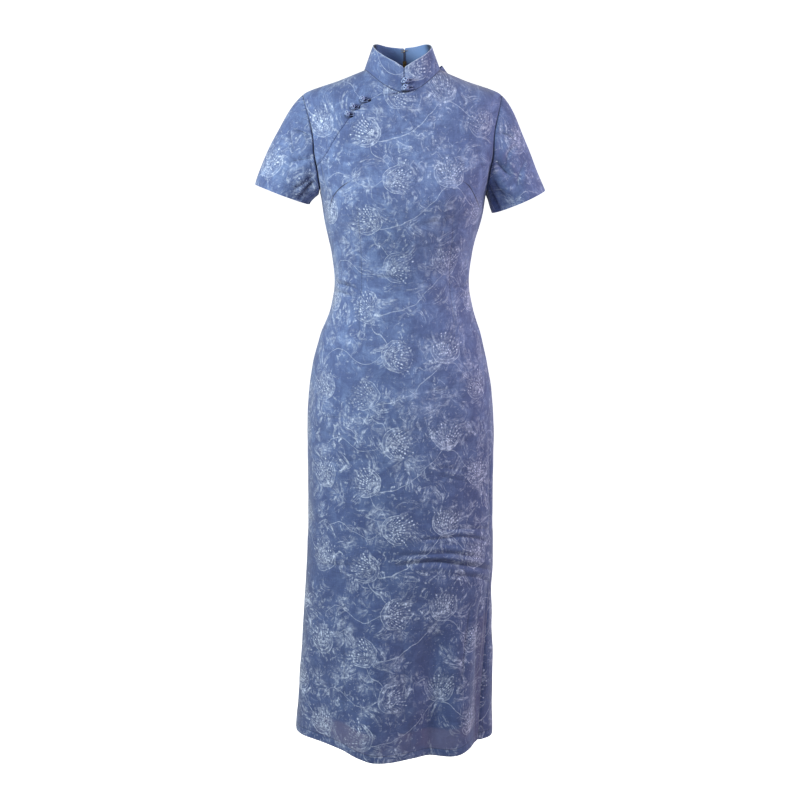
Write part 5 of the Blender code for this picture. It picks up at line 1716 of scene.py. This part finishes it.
# --- Knots, loops and zip -------------------------------------------------------------------------
def tube(path, radius, sides, closed=False):
    """A round cord along a path of points in the dress's own frame."""
    path = np.array(path, float)
    if closed:
        ahead = unit(np.roll(path, -1, axis=0) - np.roll(path, 1, axis=0))
    else:
        ahead = unit(np.gradient(path, axis=0))
    across = np.cross(ahead[0], [0.3, 0.5, 0.81])
    rings = []
    for point, way in zip(path, ahead):
        across = unit(across - way * across.dot(way))
        up = np.cross(way, across)
        turn = np.linspace(0, 2 * math.pi, sides, endpoint=False)[:, None]
        rings.append(point + radius * (np.cos(turn) * across + np.sin(turn) * up))
    count = len(rings)
    faces = []
    for i in range(count if closed else count - 1):
        for j in range(sides):
            k, after = (j + 1) % sides, (i + 1) % count
            faces.append((i * sides + j, i * sides + k, after * sides + k, after * sides + j))
    if not closed:
        faces.append(tuple(reversed(range(sides))))
        faces.append(tuple((count - 1) * sides + j for j in range(sides)))
    return np.concatenate(rings), faces


def joined(name, *shapes):
    """One mesh of several shapes, each given as its points and faces, and its finish."""
    points, faces, kinds, count = [], [], [], 0
    for number, ((own_points, own_faces), finish) in enumerate(shapes):
        points += [tuple(point) for point in own_points]
        faces += [tuple(corner + count for corner in face) for face in own_faces]
        kinds += [number] * len(own_faces)
        count += len(own_points)
    mesh = bpy.data.meshes.new(name)
    mesh.from_pydata(points, [], faces)
    mesh.shade_smooth()
    for _, finish in shapes:
        mesh.materials.append(finish)
    mesh.polygons.foreach_set("material_index", kinds)
    return add_object(name, mesh)


def ball_shape(spot, stand, radius, rows=12, sides=20):
    """A ball over a place on the cloth, with its shank."""
    line = [(0.0, stand + radius)]
    for turn in np.linspace(0, math.acos(-0.92), rows)[1:]:
        line.append((radius * math.sin(turn), stand + radius * math.cos(turn)))
    line += [(SHANK, stand - radius), (SHANK, CLEAR / 2), (0.0, CLEAR / 2)]
    points, faces = [], []
    for reach_, out in line:
        for turn in np.linspace(0, 2 * math.pi, sides, endpoint=False):
            points.append(spot.straight(reach_ * math.cos(turn), reach_ * math.sin(turn), out))
    for i in range(len(line) - 1):
        for j in range(sides):
            k = (j + 1) % sides
            faces.append((i * sides + j, (i + 1) * sides + j, (i + 1) * sides + k, i * sides + k))
    return points, faces


def knot_spot(fastening):
    """Where a knot sits on its cloth."""
    if fastening.on == "collar":
        middle = Spot(collar_surface, collar_normal, 0.0, fastening.place)
        return Spot(collar_surface, collar_normal, *middle.moved(COLLAR_BALL_SHIFT, 0.0))
    return front_spot(fastening.place)


def knot_shade(finish):
    """The shade that each knot leaves on the cloth round it, from 0 to 1."""
    total = 0.0
    for fastening in FASTENINGS:
        far = finish.away(knot_spot(fastening).straight(0.0, -KNOT_SHADE_DROP, 0.0))
        end, start = fastening.ball * KNOT_SHADE_END, fastening.ball * KNOT_SHADE_START
        total = total + far.between(end, start) * KNOT_SHADE[fastening.on]
    return total


def knot_path(spot, stand, radius, lift):
    """One strand of a button knot: three turns round the ball, over and under itself."""
    path = []
    for turn in np.linspace(0, 6 * math.pi, 108, endpoint=False):
        north = KNOT_LEAN * math.cos(4 * turn / 3)
        out = radius + lift * math.sin(8 * turn / 3)
        across, up = out * math.cos(north) * math.cos(turn), out * math.sin(north)
        near = out * math.cos(north) * math.sin(turn)
        path.append(spot.straight(across, up, stand + near))
    return path


def finer(path, times=5):
    """More points on a smooth curve through a path's points."""
    path = np.array(path, float)
    places = np.arange(len(path))
    fine = np.linspace(0, len(path) - 1, (len(path) - 1) * times + 1)
    return np.stack([smooth_table(places, column)(fine) for column in path.T], axis=-1)


def make_fastenings():
    for number, fastening in enumerate(FASTENINGS, 1):
        height = CLEAR + fastening.cord
        wide = LOOP_WIDE + (fastening.ball - LOOP_WIDE_BALL) * 0.5
        spot = knot_spot(fastening)
        kind = LOOPS[fastening.on]
        path = loop_path(spot, kind.aim, kind.length, kind.narrow, wide, kind.end, height)
        strand = fastening.ball * KNOT_STRAND
        core = ball_shape(spot, fastening.stand, fastening.ball - KNOT_CORE * strand)
        middle = fastening.ball - KNOT_PATH * strand
        path_round = knot_path(spot, fastening.stand, middle, strand * KNOT_WEAVE)
        cord = tube(path_round, strand, 8, closed=True)
        # The core is coloured dark as painted shade between the strands.
        knot = joined(f"knot_{number}", (core, CORE), (cord, CORD))
        wear(knot, f"knot_button_{number}")
        places = [spot.straight(*place) for place in path]
        loop = joined(f"loop_{number}", (tube(finer(places), fastening.cord, 10), CORD))
        wear(loop, f"button_loop_{number}")


def finish_nodes():
    """The solids that stay get finishes of their own."""
    finishes = {
        "zip_tape": TAPE,
        "zip_slider": BRASS,
        "zip_pull_tab": BRASS,
        "collar_hook": BRASS,
        "collar_eye": BRASS,
    }
    for name, finish in finishes.items():
        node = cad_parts[name]
        node.data.materials.clear()
        node.data.materials.append(finish)


# --- The dress ------------------------------------------------------------------------------------
PRINT = print_finish()
INSIDE = inside_finish()
LINING = lining_finish()
CORD = cord_finish()
CORE = core_shade_finish()
TAPE = tape_finish()
TEETH = teeth_finish()
BRASS = brass_finish()

make_camera()
make_lights()
make_stage()
make_fronts()
make_backs()
for cuff in CUFFS:
    make_sleeve(cuff)
for name, side in (("left", 1), ("right", -1)):
    make_collar(f"collar_{name}", side, 0.0, COLLAR_CLOTH, (PRINT, LINING))
    make_collar(
        f"collar_lining_{name}", side, COLLAR_CLOTH + SEAM, COLLAR_LINING, (LINING, LINING)
    )
make_zip_top()
make_fastenings()
finish_nodes()
